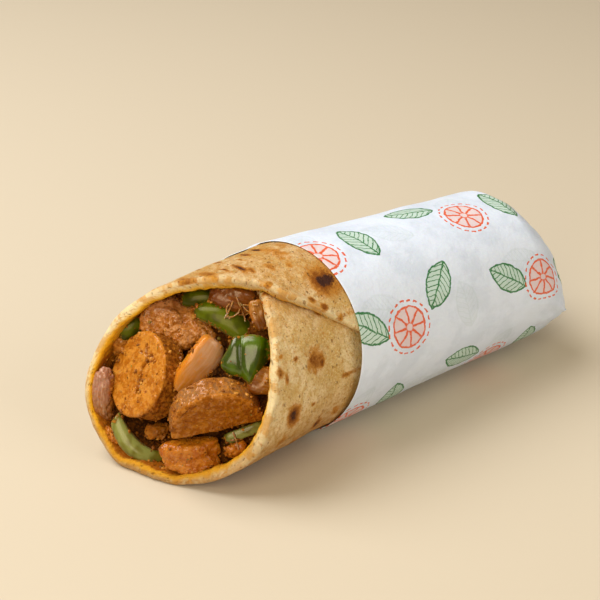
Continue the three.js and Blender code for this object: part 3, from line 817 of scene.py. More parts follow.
whole_slice = cut_slice("chaap_round_slice", 13, 8.5, cracks=SLICE_CRACKS, pits=SLICE_PITS)
crumble(whole_slice, (6, 0.3, 41, 0), (1.7, 0.18, 42, 0.5), (0.7, 0.12, 43, 0.3))
settle(whole_slice, (-47.6, 11.8, 28.4), (-0.87, 0.08, 0.48), (0, 1, 0))
slice_finish = chaap_material("chaap_slice_crumb", (0.42, 0.13, 0.003, 1), (0.62, 0.255, 0.03, 1),
                              (0.29, 0.07, 0.002, 1), (0.15, 0.036, 0.002, 1),
                              (0.25, 0.075, 0.004, 1))
finish_piece(whole_slice, slice_finish, "chaap", "chaap_slice")

half_slice = cut_slice("chaap_half_moon", 13.6, 8, chord=0.6, cracks=HALF_CRACKS)
crumble(half_slice, (6, 0.35, 44, 0), (2.0, 0.2, 45, 0.6), (0.7, 0.1, 46, 0.3))
settle(half_slice, (-38.1, -15.3, 18.4), (-0.5, -0.83, -0.23), (0.82, -0.55, 0.19))
half_finish = chaap_material("chaap_half_crumb", (0.28, 0.078, 0.002, 1), (0.43, 0.15, 0.008, 1),
                             (0.185, 0.042, 0.002, 1), (0.26, 0.11, 0.034, 1),
                             (0.19, 0.062, 0.005, 1))
finish_piece(half_slice, half_finish, "chaap_dark", "chaap_half_slice")

chaap_torn = chaap_material("chaap_torn", (0.43, 0.13, 0.006, 1), (0.65, 0.28, 0.075, 1),
                            (0.24, 0.060, 0.002, 1), (0.52, 0.22, 0.075, 1),
                            (0.46, 0.155, 0.02, 1), gloss=0.4)
chaap_saucy = chaap_material("chaap_in_sauce", (0.46, 0.127, 0.002, 1), (0.61, 0.22, 0.017, 1),
                             (0.36, 0.08, 0.002, 1), (0.60, 0.20, 0.008, 1),
                             (0.44, 0.11, 0.004, 1), gloss=0.6)
chaap_brown = chaap_material("chaap_browned", (0.36, 0.11, 0.006, 1), (0.54, 0.22, 0.04, 1),
                             (0.16, 0.040, 0.003, 1), (0.38, 0.12, 0.008, 1),
                             (0.50, 0.19, 0.03, 1))

# Each torn lump: name, node, size, seed, bits, tears, place, facing, along, finish, slot.
CHAAP_LUMPS = (
    ("chaap_large", "chaap_chunk", (31, 19, 16), 23, 16, 3, (-31.4, 14.9, 39.2),
     (-0.5, -0.5, 0.7), (0.74, -0.66, -0.09), chaap_torn, "chaap"),
    ("chaap_bottom", "chaap_nugget", (24, 14, 11), 31, 14, 2, (-42.2, -9.5, 9.2),
     TO_VIEWER, TO_RIGHT, chaap_saucy, "chaap"),
    ("chaap_far", "chunk_far", (15, 10, 9), 14, 7, 4, (-45.1, 25.0, 29.8),
     TO_VIEWER, (0.2, 0.1, 0.97), chaap_brown, "chaap_dark"),
    ("chaap_near", "nugget_near", (10, 8, 8), 37, 8, 4, (-34.6, -19.7, 11.8),
     TO_VIEWER, TO_RIGHT, chaap_saucy, "chaap_dark"),
    ("chaap_middle", "nugget_middle", (9, 9, 8), 41, 8, 3, (-45.6, 4.5, 10.2),
     TO_VIEWER, TO_RIGHT, chaap_brown, "chaap_dark"),
    ("chaap_low", "nugget_low", (9, 6, 5), 43, 8, 3, (-54.4, 16.2, 8.2),
     TO_VIEWER, (0.14, -0.62, -0.77), chaap_saucy, "chaap_dark"),
)
for name, node, size, seed, bits, tears, at, facing, along, finish, slot in CHAAP_LUMPS:
    lump = torn_lump(name, size, seed, bits, tears)
    settle(lump, at, facing, along)
    finish_piece(lump, finish, slot, node)

# ---- onion -------------------------------------------------------------------------------------
# Onion petals, fried until soft: thick curved layers with cut ends, glassy and pinkish where they
# are thin, stained orange by the spiced oil along their edges.

# Whitish streaks between the veins: the onion's pale flecks, and painted sheen where its glossy
# streaks would catch the light.
ONION_SHEEN_AND_FLECKS = (0.80, 0.60, 0.46, 1)


def leaf_of_flesh(name, size, corner=3.0, bend=0.0, cup=0.0, sweep=0.0, outline=None,
                  relief=None, detail=6):
    """A slab with rounded edges, from a ball: bent back along its length, cupped across it and
    swept sideways. An outline gives its lower and upper side along it, in shares of its width."""
    bpy.ops.mesh.primitive_ico_sphere_add(subdivisions=detail, radius=1)
    piece = bpy.context.object
    piece.name = name
    ball = spots(piece)
    u, v, w = (ball / (np.abs(ball) ** corner).sum(1)[:, None] ** (1 / corner)).T
    side = v
    if outline:
        rows = smooth_line(outline, 8)
        low, high = np.interp(u, rows[:, 0], rows[:, 1]), np.interp(u, rows[:, 0], rows[:, 2])
        side = low + (high - low) * (v + 1) / 2
    x, y = size[0] / 2 * u, size[1] / 2 * side
    z = size[2] / 2 * w - bend * u ** 2 - cup * v ** 2
    if relief:
        z += relief(x)
    move_spots(piece, np.stack([x, y + sweep * u ** 2, z], -1))
    paint(piece, "along", u)
    paint(piece, "across", v)
    return piece


def onion_material(name, pale, deep, edge, sheen_and_flecks):
    """Soft onion: pale at one end, orange at the other and along its edges, finely veined, with
    whitish streaks between the veins: partly pale flecks, partly painted sheen."""
    material, tree, shader = new_material(name, 0.3, specular=0.4, coat=0.5, subsurface=0.3)
    place = own_place(tree)
    along, across = value_of(tree, "along"), value_of(tree, "across")
    spread = add(tree, "ShaderNodeCombineXYZ", {"X": times(tree, along, 1.2),
                                                "Y": times(tree, across, 4)})
    veins = cloud(tree, spread.outputs["Vector"], 1.2, 2)
    broad = cloud(tree, place, 0.25, 3)
    ends = calc(tree, "MULTIPLY_ADD", calc(tree, "SUBTRACT", broad, 0.5), 1.6, along)
    colour = blend(tree, deep, pale, ends, -0.5, 0.5)
    colour = blend(tree, colour, deep, veins, 0.46, 0.68, 0.25)
    # Painted sheen, with the onion's pale flecks, between the veins.
    colour = blend(tree, colour, ONION_SHEEN_AND_FLECKS, veins, 0.54, 0.32, sheen_and_flecks)
    side = calc(tree, "MULTIPLY_ADD", calc(tree, "SUBTRACT", broad, 0.5), 0.3, across)
    margin = calc(tree, "MAXIMUM", ramp(tree, side, 0.62, 0.86), ramp(tree, side, -0.86, -0.98))
    colour = mix(tree, times(tree, margin, 0.85), colour, edge)
    oil = cloud(tree, place, 0.8, 4, 0.65)
    colour = blend(tree, colour, edge, oil, 0.58, 0.66, 0.6)
    tree.links.new(colour, shader.inputs["Base Color"])
    tree.links.new(ramp(tree, oil, 0.3, 0.7, 0.22, 0.45), shader.inputs["Roughness"])
    raise_skin(tree, shader, veins, 0.12, 0.3)
    return material


fried_onion = onion_material("fried_onion", (0.50, 0.25, 0.115, 1), (0.50, 0.18, 0.016, 1),
                             (0.60, 0.20, 0.006, 1), 0.14)
pink_onion = onion_material("pink_onion", (0.36, 0.16, 0.10, 1), (0.28, 0.09, 0.015, 1),
                            (0.40, 0.13, 0.008, 1), 0.2)
amber_onion = onion_material("amber_onion", (0.34, 0.13, 0.010, 1), (0.20, 0.052, 0.003, 1),
                             (0.36, 0.11, 0.004, 1), 0.12)
# The darkest onion, on the piece between the others at the top: partly painted shade of the gap it
# lies in.
shaded_brown_onion = onion_material("shaded_brown_onion", (0.25, 0.070, 0.006, 1), (0.14, 0.030, 0.002, 1),
                             (0.32, 0.085, 0.003, 1), 0.06)

# Each petal: name, node, slot, size, corner, bend, cup, outline, relief, place, facing, along,
# finish. The front one's outline is its own; the others are plain.
FRONT_OUTLINE = ((-1, -0.75, 0.2), (-0.5, -1.0, 0.62), (0, -1.05, 0.74), (0.5, -0.98, 0.84),
                 (0.85, -0.75, 0.86), (1, -0.6, 0.6))
ONION_PETALS = (
    ("onion_front", "onion_petal", "onion", (18.6, 10, 3.4), 7, 1.2, 0.9, FRONT_OUTLINE,
     ((5, 0.2, 51, 0),), (-36.9, -3.9, 34.2), (-0.40, -0.88, 0.21), (0.74, -0.18, 0.64),
     fried_onion),
    ("onion_leftmost", "onion_far", "onion_pink", (18, 6.5, 5), 3, 1.5, 0.5, None,
     ((2.4, 0.5, 52, 0.4), (1.0, 0.25, 53, 0.3)), (-53.4, 22.6, 17.7), (-0.9, -0.4, 0.1),
     (0.25, 0.15, 0.95), pink_onion),
    ("onion_rightmost", "onion_near", "onion", (9, 4.5, 3.6), 4, 0.6, 0.3, None,
     ((2.6, 0.35, 54, 0),), (-18.8, -10.2, 47.5), TO_VIEWER, (0.08, 0.5, 0.86), amber_onion),
    ("onion_top", "chunk_upper", "chaap_dark", (15, 8, 5), 4, 1.6, 1.0, None,
     ((4, 0.5, 55, 0.2), (1.4, 0.12, 56, 0)), (-20.5, -0.3, 49.9), TO_VIEWER,
     (0.65, -0.71, -0.27), shaded_brown_onion),
    ("onion_edge", "onion_brown", "chaap_dark", (9, 8, 5), 4, 0.8, 0.8, None,
     ((3, 0.5, 57, 0.2),), (-24.4, -18.9, 31.4), TO_VIEWER, TO_RIGHT, amber_onion),
)
for (name, node, slot, size, corner, bend, cup, outline, relief, at, facing, along,
     finish) in ONION_PETALS:
    petal = leaf_of_flesh(name, size, corner, bend, cup, outline=outline)
    crumble(petal, *relief)
    settle(petal, at, facing, along)
    finish_piece(petal, finish, slot, node)

# ---- green pepper ------------------------------------------------------------------------------
# Strips of green pepper: a glossy skin over paler flesh, softened by frying and folded over, with
# crumbs of masala stuck to the wet skin.

PEPPER_FLESH = (0.27, 0.29, 0.06, 1)
STUCK_MASALA = (0.34, 0.13, 0.010, 1)


def pepper_material(name, skin, deep, flesh, gloss):
    """Pepper skin: glossy, darker in parts, its cut edges paler, dusted with stuck masala."""
    material, tree, shader = new_material(name, 0.35, specular=0.25, subsurface=0.08)
    place = own_place(tree)
    along, across = value_of(tree, "along"), value_of(tree, "across")
    broad = cloud(tree, place, 0.16, 2)
    colour = blend(tree, skin, deep, broad, 0.42, 0.60)
    margin = calc(tree, "ABSOLUTE", across)
    colour = blend(tree, colour, flesh, margin, 0.93, 0.98, 0.8)
    crumbs = cloud(tree, place, 0.8, 5, 0.7)
    rims = calc(tree, "MAXIMUM", margin, calc(tree, "ABSOLUTE", along))
    stuck = calc(tree, "MULTIPLY_ADD", ramp(tree, rims, 0.7, 1.0), 0.16, crumbs)
    stuck = ramp(tree, stuck, 0.66, 0.72)
    colour = mix(tree, stuck, colour, STUCK_MASALA)
    tree.links.new(colour, shader.inputs["Base Color"])
    tree.links.new(ramp(tree, stuck, 0, 1, 0.3, 0.6), shader.inputs["Roughness"])
    tree.links.new(ramp(tree, stuck, 0, 1, gloss, 0.1), shader.inputs["Coat Weight"])
    raise_skin(tree, shader, stuck, 0.6, 0.5)
    return material


pepper_skin = pepper_material("pepper_skin", (0.062, 0.125, 0.001, 1), (0.028, 0.055, 0.001, 1),
                              PEPPER_FLESH, 1.0)
pepper_olive = pepper_material("pepper_olive", (0.095, 0.120, 0.001, 1),
                               (0.038, 0.048, 0.001, 1), PEPPER_FLESH, 0.15)
pepper_pale = pepper_material("pepper_pale", (0.24, 0.255, 0.06, 1), (0.12, 0.105, 0.003, 1),
                              (0.34, 0.32, 0.10, 1), 0.6)


def two_lobes(x):
    """The folded strip bulges on both sides of its fold."""
    off = np.clip((np.abs(x + 1.0) - 3.3) / 4.0, -1, 1)
    return 1.6 * (1 - off ** 4)


FOLDED_OUTLINE = ((-1, -0.5, 0.05), (-0.73, -0.64, 0.40), (-0.48, -0.71, 0.82), (-0.2, -0.75, 0.86),
                  (0, -0.9, 0.9), (0.18, -1.05, 0.92), (0.40, -0.80, 0.9), (0.65, -0.5, 0.86),
                  (1, -0.1, 0.75))
UPPER_OUTLINE = ((-1, -0.5, 0.4), (-0.7, -0.9, 0.9), (0, -1, 1), (0.6, -1, 0.9), (1, -1, 0.7))

# Each strip: name, node, size, corner, bend, cup, sweep, outline, relief, seed, place, facing,
# along, finish.
PEPPER_STRIPS = (
    ("pepper_right", "pepper_folded", (14.5, 15, 4.0), 4, 0.5, 1.3, 0, FOLDED_OUTLINE, two_lobes,
     12, (-25.9, -13.3, 37.0), (-0.63, -0.58, 0.52), TO_RIGHT, pepper_skin),
    ("pepper_top", "pepper_upper", (20, 7.6, 3.2), 7, 2.6, 1.3, -1.6, UPPER_OUTLINE, None, 10,
     (-23.9, -1.3, 44.5), (-0.5, -0.55, 0.67), (0.49, -0.72, -0.48), pepper_olive),
    ("pepper_bottom", "pepper_lower", (21, 5.4, 3.4), 6, 1.0, 0.7, 3.8, None, None, 13,
     (-52.4, 7.9, 6.2), TO_VIEWER, (0.43, -0.71, -0.55), pepper_pale),
    ("pepper_left", "pepper_far", (10, 5.5, 3), 5, 0.8, 0.6, 0, None, None, 14,
     (-40.4, 25.1, 35.9), TO_VIEWER, (0.81, -0.37, 0.44), pepper_olive),
    ("pepper_rear", "pepper_back", (13, 5.2, 3), 5, 1.2, 0.6, 0, None, None, 15,
     (-24.5, 9.4, 47.2), (-0.6, -0.6, 0.5), TO_RIGHT, pepper_olive),
    ("pepper_slip", "pepper_sliver", (12.5, 3.4, 2.6), 6, 0.8, 0.3, 0, None, None, 16,
     (-31.3, -19.3, 16.6), TO_VIEWER, (0.83, -0.46, 0.32), pepper_pale),
)
for (name, node, size, corner, bend, cup, sweep, outline, relief, seed, at, facing, along,
     finish) in PEPPER_STRIPS:
    strip = leaf_of_flesh(name, size, corner, bend, cup, sweep, outline, relief)
    crumble(strip, (7, 0.22, seed, 0))
    settle(strip, at, facing, along)
    finish_piece(strip, finish, "pepper", node)

# ---- crumbs and strands ------------------------------------------------------------------------
# Loose bits of the same filling: crumbs of chaap and spice that gather where the wet pieces meet,
# and thin glassy strands of onion that hang between them.

CRUMBS = 700
CRUMB_LOOKS = 9000            # looks into the mouth for places where a crumb may lie
CRUMB_SIZES = (0.14, 0.55)    # smallest radius, and what is added for the largest
BEHIND = -12                  # crumbs lie in front of this station, clear of the paper
SEAM_STEP = 0.8               # two pieces meet where a look this far aside meets another piece
SEAM_DROP = 1.1               # or goes in this much more or less
STRAND_RADIUS = 0.27
STRAND_STEPS = 10
STRAND_PROUD = 0.5            # how far a strand lies in front of what it crosses
MOUTH_MIDDLE = (-38, 0, 27)
INWARD = -Vector(TO_VIEWER).normalized()
LOOK_FROM = 40                # how far before the mouth's middle a look starts
LOOK_REACH = 90
LOOK_MISSED = 45              # how far in a strand hangs where there is nothing behind it

# Tangles of strands: place in millimetres right and up of the mouth's middle, spread, strands.
TANGLES = ((16.8, 22.4, 1.8, 4), (13.4, 21.4, 1.4, 3), (14.2, -16.6, 1.6, 2))

CRUMB_DARK = (0.18, 0.050, 0.002, 1)
CRUMB_BROWN = (0.37, 0.115, 0.004, 1)
CRUMB_PALE = (0.58, 0.26, 0.04, 1)
CRUMB_GREEN = (0.20, 0.17, 0.02, 1)
CRUMB_OIL = (0.34, 0.09, 0.004, 1)
STRAND_PALE = (0.40, 0.21, 0.06, 1)
STRAND_AMBER = (0.30, 0.11, 0.012, 1)


def mouth_spot(right, up, forward):
    """A place in front of the mouth, in millimetres from its middle."""
    x_axis = Vector(TO_RIGHT).normalized()
    y_axis = x_axis.cross(INWARD)
    spot = Vector(MOUTH_MIDDLE) + right * x_axis + up * y_axis - forward * INWARD
    return ORIGIN + spot * MM


def look_in(graph, right, up):
    """What a straight look into the mouth meets: how far in, where, its normal, and the piece."""
    start = mouth_spot(right, up, LOOK_FROM)
    hit, place, normal, _, piece, _ = bpy.context.scene.ray_cast(graph, start, INWARD,
                                                                 distance=LOOK_REACH * MM)
    return ((place - start).length / MM, place, normal, piece) if hit else None


def takes_crumb(graph, draw, right, up):
    """Where a crumb may lie: on the filling, mostly where two pieces meet."""
    seen = look_in(graph, right, up)
    if seen is None:
        return None
    distance, place, normal, piece = seen
    x, y, z = (place - ORIGIN) / MM
    outwards = normal.dot(place - mouth_spot(0, 0, 0)) > 0
    on_rim = piece.name == bread.name and (outwards or x - mouth_plane(y, z) < 2.2)
    if on_rim or x > BEHIND:
        return None
    seam = 0
    for aside, above in ((1, 0), (-1, 0), (0, 1), (0, -1)):
        near = look_in(graph, right + aside * SEAM_STEP, up + above * SEAM_STEP)
        if near and (near[3] is not piece or abs(near[0] - distance) > SEAM_DROP):
            seam += 1
    clump = noise.noise(Vector((right, up, 4)) * 0.22)
    smooth = piece.name.startswith(("pepper", "onion_front"))
    chance = 0.015 + 0.12 * max(clump, 0) + 0.25 * seam
    return seen if draw.uniform() < chance * (0.3 if smooth and seam < 2 else 1) else None


def crumb_mesh(graph, piece):
    """Crumbs from one ball: squashed, jagged and turned copies of it where they may lie."""
    draw = np.random.default_rng(7)
    unit = spots(piece)
    faces = np.array([polygon.vertices[:] for polygon in piece.data.polygons])
    piece.data.clear_geometry()
    places, corners, tints = [], [], []
    for _ in range(CRUMB_LOOKS):
        seen = takes_crumb(graph, draw, draw.uniform(-27, 27), draw.uniform(-28, 28))
        if seen is None or len(places) == CRUMBS:
            continue
        radius = CRUMB_SIZES[0] + CRUMB_SIZES[1] * draw.uniform() ** 2
        size = radius * draw.uniform(0.45, 1.4, 3)
        jagged = unit * (1 + 0.42 * draw.uniform(-1, 1, (len(unit), 1)))
        turn = Matrix.Rotation(draw.uniform(0, math.tau), 3, Vector(draw.normal(size=3)))
        sunk = np.array(seen[1] - seen[2] * radius * 0.1 * MM)
        places.append((jagged * size) @ np.array(turn) * MM + sunk)
        corners.append(faces + len(unit) * len(corners))
        tints.append(np.full(len(unit), draw.uniform()))
    piece.data.from_pydata(np.concatenate(places), [], np.concatenate(corners).tolist())
    paint(piece, "tint", np.concatenate(tints))


def strand_mesh(graph):
    """Each strand wanders in a curl and lies on what it meets, a little proud of it."""
    draw = np.random.default_rng(5)
    line = bpy.data.curves.new("onion_strands", "CURVE")
    line.dimensions = "3D"
    line.bevel_depth = STRAND_RADIUS * MM
    line.bevel_resolution = 2
    line.use_fill_caps = True
    for right, up, spread, strands_here in TANGLES:
        for _ in range(strands_here):
            heading, curl = draw.uniform(0, math.tau), draw.uniform(-0.2, 0.2)
            turns = heading + curl * np.arange(STRAND_STEPS) + draw.normal(0, 0.2, STRAND_STEPS)
            steps = np.stack([np.cos(turns), np.sin(turns)], -1) * draw.uniform(0.5, 0.9)
            path = (steps.cumsum(0) - steps.sum(0) / 2 + draw.normal(0, spread / 2, 2)
                    + (right, up)).tolist()
            inwards = [(look_in(graph, *place) or (LOOK_MISSED,))[0] for place in path]
            inwards = np.convolve(np.pad(inwards, 2, "edge"), np.ones(5) / 5, "valid").tolist()
            spline = line.splines.new("NURBS")
            spline.points.add(STRAND_STEPS - 1)
            spline.use_endpoint_u = True
            for point, place, inward in zip(spline.points, path, inwards):
                point.co = (*mouth_spot(*place, LOOK_FROM + STRAND_PROUD - inward), 1)
    piece = bpy.data.objects.new("onion_strands", line)
    bpy.context.scene.collection.objects.link(piece)
    bpy.ops.object.select_all(action="DESELECT")
    piece.select_set(True)
    bpy.context.view_layer.objects.active = piece
    bpy.ops.object.convert(target="MESH")
    return bpy.context.object


def crumb_material():
    material, tree, shader = new_material("masala_crumb", 0.4, specular=0.35, coat=0.25,
                                          subsurface=0.1)
    tint = value_of(tree, "tint")
    place = own_place(tree)
    fine = cloud(tree, place, 3, 3)
    colour = blend(tree, CRUMB_DARK, CRUMB_BROWN, tint, 0.40, 0.46)
    colour = blend(tree, colour, CRUMB_PALE, tint, 0.80, 0.88)
    colour = blend(tree, colour, CRUMB_GREEN, tint, 0.97, 0.98)
    colour = blend(tree, colour, CRUMB_OIL, fine, 0.45, 0.65, 0.6)
    tree.links.new(colour, shader.inputs["Base Color"])
    raise_skin(tree, shader, fine, 0.6, 0.2)
    return material


def strand_material():
    material, tree, shader = new_material("glassy_onion", 0.25, specular=0.4, coat=0.8,
                                          subsurface=0.5, glint=PLAIN_GLINT)
    stains = cloud(tree, own_place(tree), 0.9, 3)
    colour = blend(tree, STRAND_PALE, STRAND_AMBER, stains, 0.40, 0.60)
    tree.links.new(colour, shader.inputs["Base Color"])
    return material


bpy.context.view_layer.update()
graph = bpy.context.evaluated_depsgraph_get()
bpy.ops.mesh.primitive_ico_sphere_add(subdivisions=2, radius=1, location=(0, 0, 0))
crumbs = bpy.context.object
crumbs.name = "masala_crumbs"
crumb_mesh(graph, crumbs)
strands = strand_mesh(graph)
finish_piece(crumbs, crumb_material(), "masala")
finish_piece(strands, strand_material(), "onion")

# ---- paper sleeve ------------------------------------------------------------------------------
# A sheet of thin greaseproof paper, rolled tight round the rear of the roll with its free edge on
# the far side, and pinched shut at the tail. It is printed with leaves and wheels in two inks.

PAPER = 0.22
TAIL_TOP_START = 86.8         # where the top and the underside start to close to a crease
TAIL_UNDER_START = 85
CREASE_HEIGHT = 14.4
CREASE_TUCK = 3               # how much narrower the crease is, on each side
PAPER_EDGE_SLANT = (-0.143, 0.138)     # of its front edge, across and up
PAPER_START = -195            # turn angle of the edge that lies inside
PAPER_FINISH = 212            # turn angle of the free edge outside
PAPER_CORNER = 9              # how far the free corner of the sheet reaches forward, far side
PAPER_CORNER_TURNS = (113, 125, 150, 178)
PAPER_TURNS = 310
PAPER_ROWS = 150

PAPER_WHITE = (0.72, 0.80, 0.96, 1)
PAPER_SHADE = (0.60, 0.68, 0.83, 1)
LEAF_GREEN = (0.022, 0.17, 0.045, 1)
LEAF_TINT = (0.42, 0.62, 0.44, 1)
WHEEL_ORANGE = (0.72, 0.11, 0.03, 1)
WHEEL_TINT = (0.78, 0.42, 0.33, 1)
PRINT_BEHIND = (0.25, 0.38, 0.34, 1)

# The print, in millimetres.
PRINT_LINE = 0.42
PRINT_WOBBLE = 1.2
LEAF_ARC = 10.6               # radius of the leaf's two sides
LEAF_OFFSET = 6               # from the middle of each arc to the midrib
WHEEL_RADIUS = 8.6
WHEEL_FACE = 6.6
WHEEL_DASHES = 20
WHEEL_WEDGES = 8


def sleeve_point(x, angle, inset):
    turn = np.radians(angle)
    radius = SLEEVE_RADIUS - TAPER * np.maximum(x, 0)
    middle = middle_height(np.maximum(x, 0))
    end = PAPER_TAIL - 1.6 * np.maximum(inset, 0)
    closing = np.clip((x - TAIL_TOP_START) / (end - TAIL_TOP_START), 0, 1)
    lifting = np.clip((x - TAIL_UNDER_START) / (end - TAIL_UNDER_START), 0, 1)
    top = CREASE_HEIGHT + (middle + radius - inset - CREASE_HEIGHT) * (1 - closing ** 1.2) ** 0.26
    under = CREASE_HEIGHT + (middle - radius + inset - CREASE_HEIGHT) * np.sqrt(1 - lifting ** 3.2)
    widest = middle + (CREASE_HEIGHT - middle) * closing ** 1.5
    half_width = radius - CREASE_TUCK * closing ** 2 - inset
    rise = np.sin(turn)
    z = widest + np.where(rise > 0, top - widest, widest - under) * rise
    return np.stack([x, -half_width * np.cos(turn), np.maximum(z, np.maximum(inset, 0))], -1)


def paper_sleeve():
    bpy.ops.mesh.primitive_grid_add(x_subdivisions=PAPER_TURNS, y_subdivisions=PAPER_ROWS, size=1)
    sleeve = bpy.context.object
    sleeve.name = "paper_sleeve"
    flat = spots(sleeve) + 0.5
    angle = PAPER_START + (PAPER_FINISH - PAPER_START) * flat[:, 0]
    share = flat[:, 1] ** 1.05
    rim = sleeve_point(np.zeros(len(angle)), angle, 0)
    edge = PAPER_EDGE_SLANT[0] * rim[:, 1] + PAPER_EDGE_SLANT[1] * (rim[:, 2] - middle_height(0))
    corner = between(angle, PAPER_CORNER_TURNS)
    edge -= PAPER_CORNER * corner
    x = edge + (PAPER_TAIL - edge) * share
    around = np.radians(angle) * SLEEVE_RADIUS

    at = np.stack([around * 0.9, x * 0.55, 0 * x], -1)
    folds = 1 - np.abs(waves(at, 17, 21))
    pleats = waves(np.stack([around, x * 0.12, 0 * x], -1), 5.5, 24)
    crinkle = 0.30 * waves(at, 21, 22) + 0.22 * folds ** 3 + 0.09 * waves(at, 6, 23)
    crinkle += 0.35 * pleats * smoothstep(x, 78, 97)
    inset = 0.62 - 0.34 * flat[:, 0] - crinkle * smoothstep(x - edge, 0, 14)
    wrapped = sleeve_point(x, angle, inset)
    on_bread = bread_point(x, angle, inset - 0.75 + 0.13 * smoothstep(-x, 0, 4))
    places = np.where(((corner > 0) & (x < 0))[:, None], on_bread, wrapped)
    move_spots(sleeve, in_frame(places))
    map_corners(sleeve, "paper", x, around)
    apply_modifier(sleeve, "SOLIDIFY", thickness=PAPER * MM, offset=-1)
    return sleeve


def length(tree, vector):
    return add(tree, "ShaderNodeVectorMath", {0: vector}, operation="LENGTH").outputs["Value"]


def ring(tree, distance, radius, width):
    """1 on a line at a distance, fading over its edges."""
    off = calc(tree, "ABSOLUTE", calc(tree, "SUBTRACT", distance, radius))
    return ramp(tree, off, width, width * 0.5)


def leaf_group():
    """A leaf drawn in line: a pointed oval with a midrib and slanted side veins."""
    group, given, result = new_group("leaf_print", (), ("Line", "Fill"))
    axis = add(group, "ShaderNodeSeparateXYZ", {"Vector": given["Vector"]}).outputs
    side = calc(group, "ABSOLUTE", axis["Y"])
    curve = add(group, "ShaderNodeCombineXYZ", {"X": axis["X"],
                                                "Y": calc(group, "ADD", side, LEAF_OFFSET)})
    distance = length(group, curve.outputs[0])
    outline = ring(group, distance, LEAF_ARC, PRINT_LINE)
    inside = ramp(group, distance, LEAF_ARC, LEAF_ARC - 0.2)
    rib = ramp(group, side, 0.36, 0.16)
    slant = calc(group, "MULTIPLY_ADD", side, 0.8, axis["X"])
    vein = ramp(group, calc(group, "PINGPONG", slant, 0.95), 0.26, 0.1)
    drawn = times(group, calc(group, "MAXIMUM", rib, vein), inside)
    group.links.new(calc(group, "MAXIMUM", outline, drawn), result["Line"])
    group.links.new(inside, result["Fill"])
    return group


def wheel_group():
    """A round emblem: a dashed ring, a plain ring and spokes between wedges."""
    group, given, result = new_group("wheel_print", (), ("Line", "Fill"))
    axis = add(group, "ShaderNodeSeparateXYZ", {"Vector": given["Vector"]}).outputs
    reach = length(group, given["Vector"])
    bearing = calc(group, "ARCTAN2", axis["Y"], axis["X"])
    beat = calc(group, "SINE", times(group, bearing, WHEEL_DASHES))
    dashes = times(group, ring(group, reach, WHEEL_RADIUS, PRINT_LINE),
                   calc(group, "GREATER_THAN", beat, -0.3))
    turn = times(group, bearing, WHEEL_WEDGES / 2)
    wedge = calc(group, "ABSOLUTE", calc(group, "SINE", turn))
    spoke = ramp(group, times(group, wedge, reach), 2.0, 1.1)
    spoke = times(group, spoke, ramp(group, reach, WHEEL_FACE - 0.2, WHEEL_FACE - 0.4))
    spoke = times(group, spoke, ramp(group, reach, 1.0, 1.4))
    rings = calc(group, "MAXIMUM", dashes, ring(group, reach, WHEEL_FACE, PRINT_LINE * 1.1))
    group.links.new(calc(group, "MAXIMUM", rings, spoke), result["Line"])
    group.links.new(ramp(group, reach, WHEEL_FACE, WHEEL_FACE - 0.2), result["Fill"])
    return group


# The print repeats in a tile, in millimetres: middle of each motif along and round, and its turn.
PRINT_TILE = (62.0, 63.9)
LEAVES = ((9, 12, 35), (41, 18, -50), (24, 42, 80), (52, 50, 15))
WHEELS = ((25, 8, 0), (6, 40, 20))


def motif(tree, place, middles, group, slide=(0, 0)):
    """The lines and fills of one motif, at each of its middles in the repeating tile."""
    half = (PRINT_TILE[0] / 2, PRINT_TILE[1] / 2, 1)
    lines, fills = [], []
    for along, around, turn in middles:
        middle = (along + slide[0], around + slide[1], 0)
        moved = vector_calc(tree, "SUBTRACT", place, middle)
        wrapped = vector_calc(tree, "WRAP", moved, half, tuple(-side for side in half))
        turned = add(tree, "ShaderNodeVectorRotate",
                     {"Vector": wrapped, "Angle": math.radians(turn)}, rotation_type="Z_AXIS")
        made = add(tree, "ShaderNodeGroup", {"Vector": turned.outputs[0]}, node_tree=group)
        lines.append(made.outputs["Line"])
        fills.append(made.outputs["Fill"])
    while len(lines) > 1:
        lines.append(calc(tree, "MAXIMUM", lines.pop(), lines.pop()))
        fills.append(calc(tree, "MAXIMUM", fills.pop(), fills.pop()))
    return lines[0], fills[0]


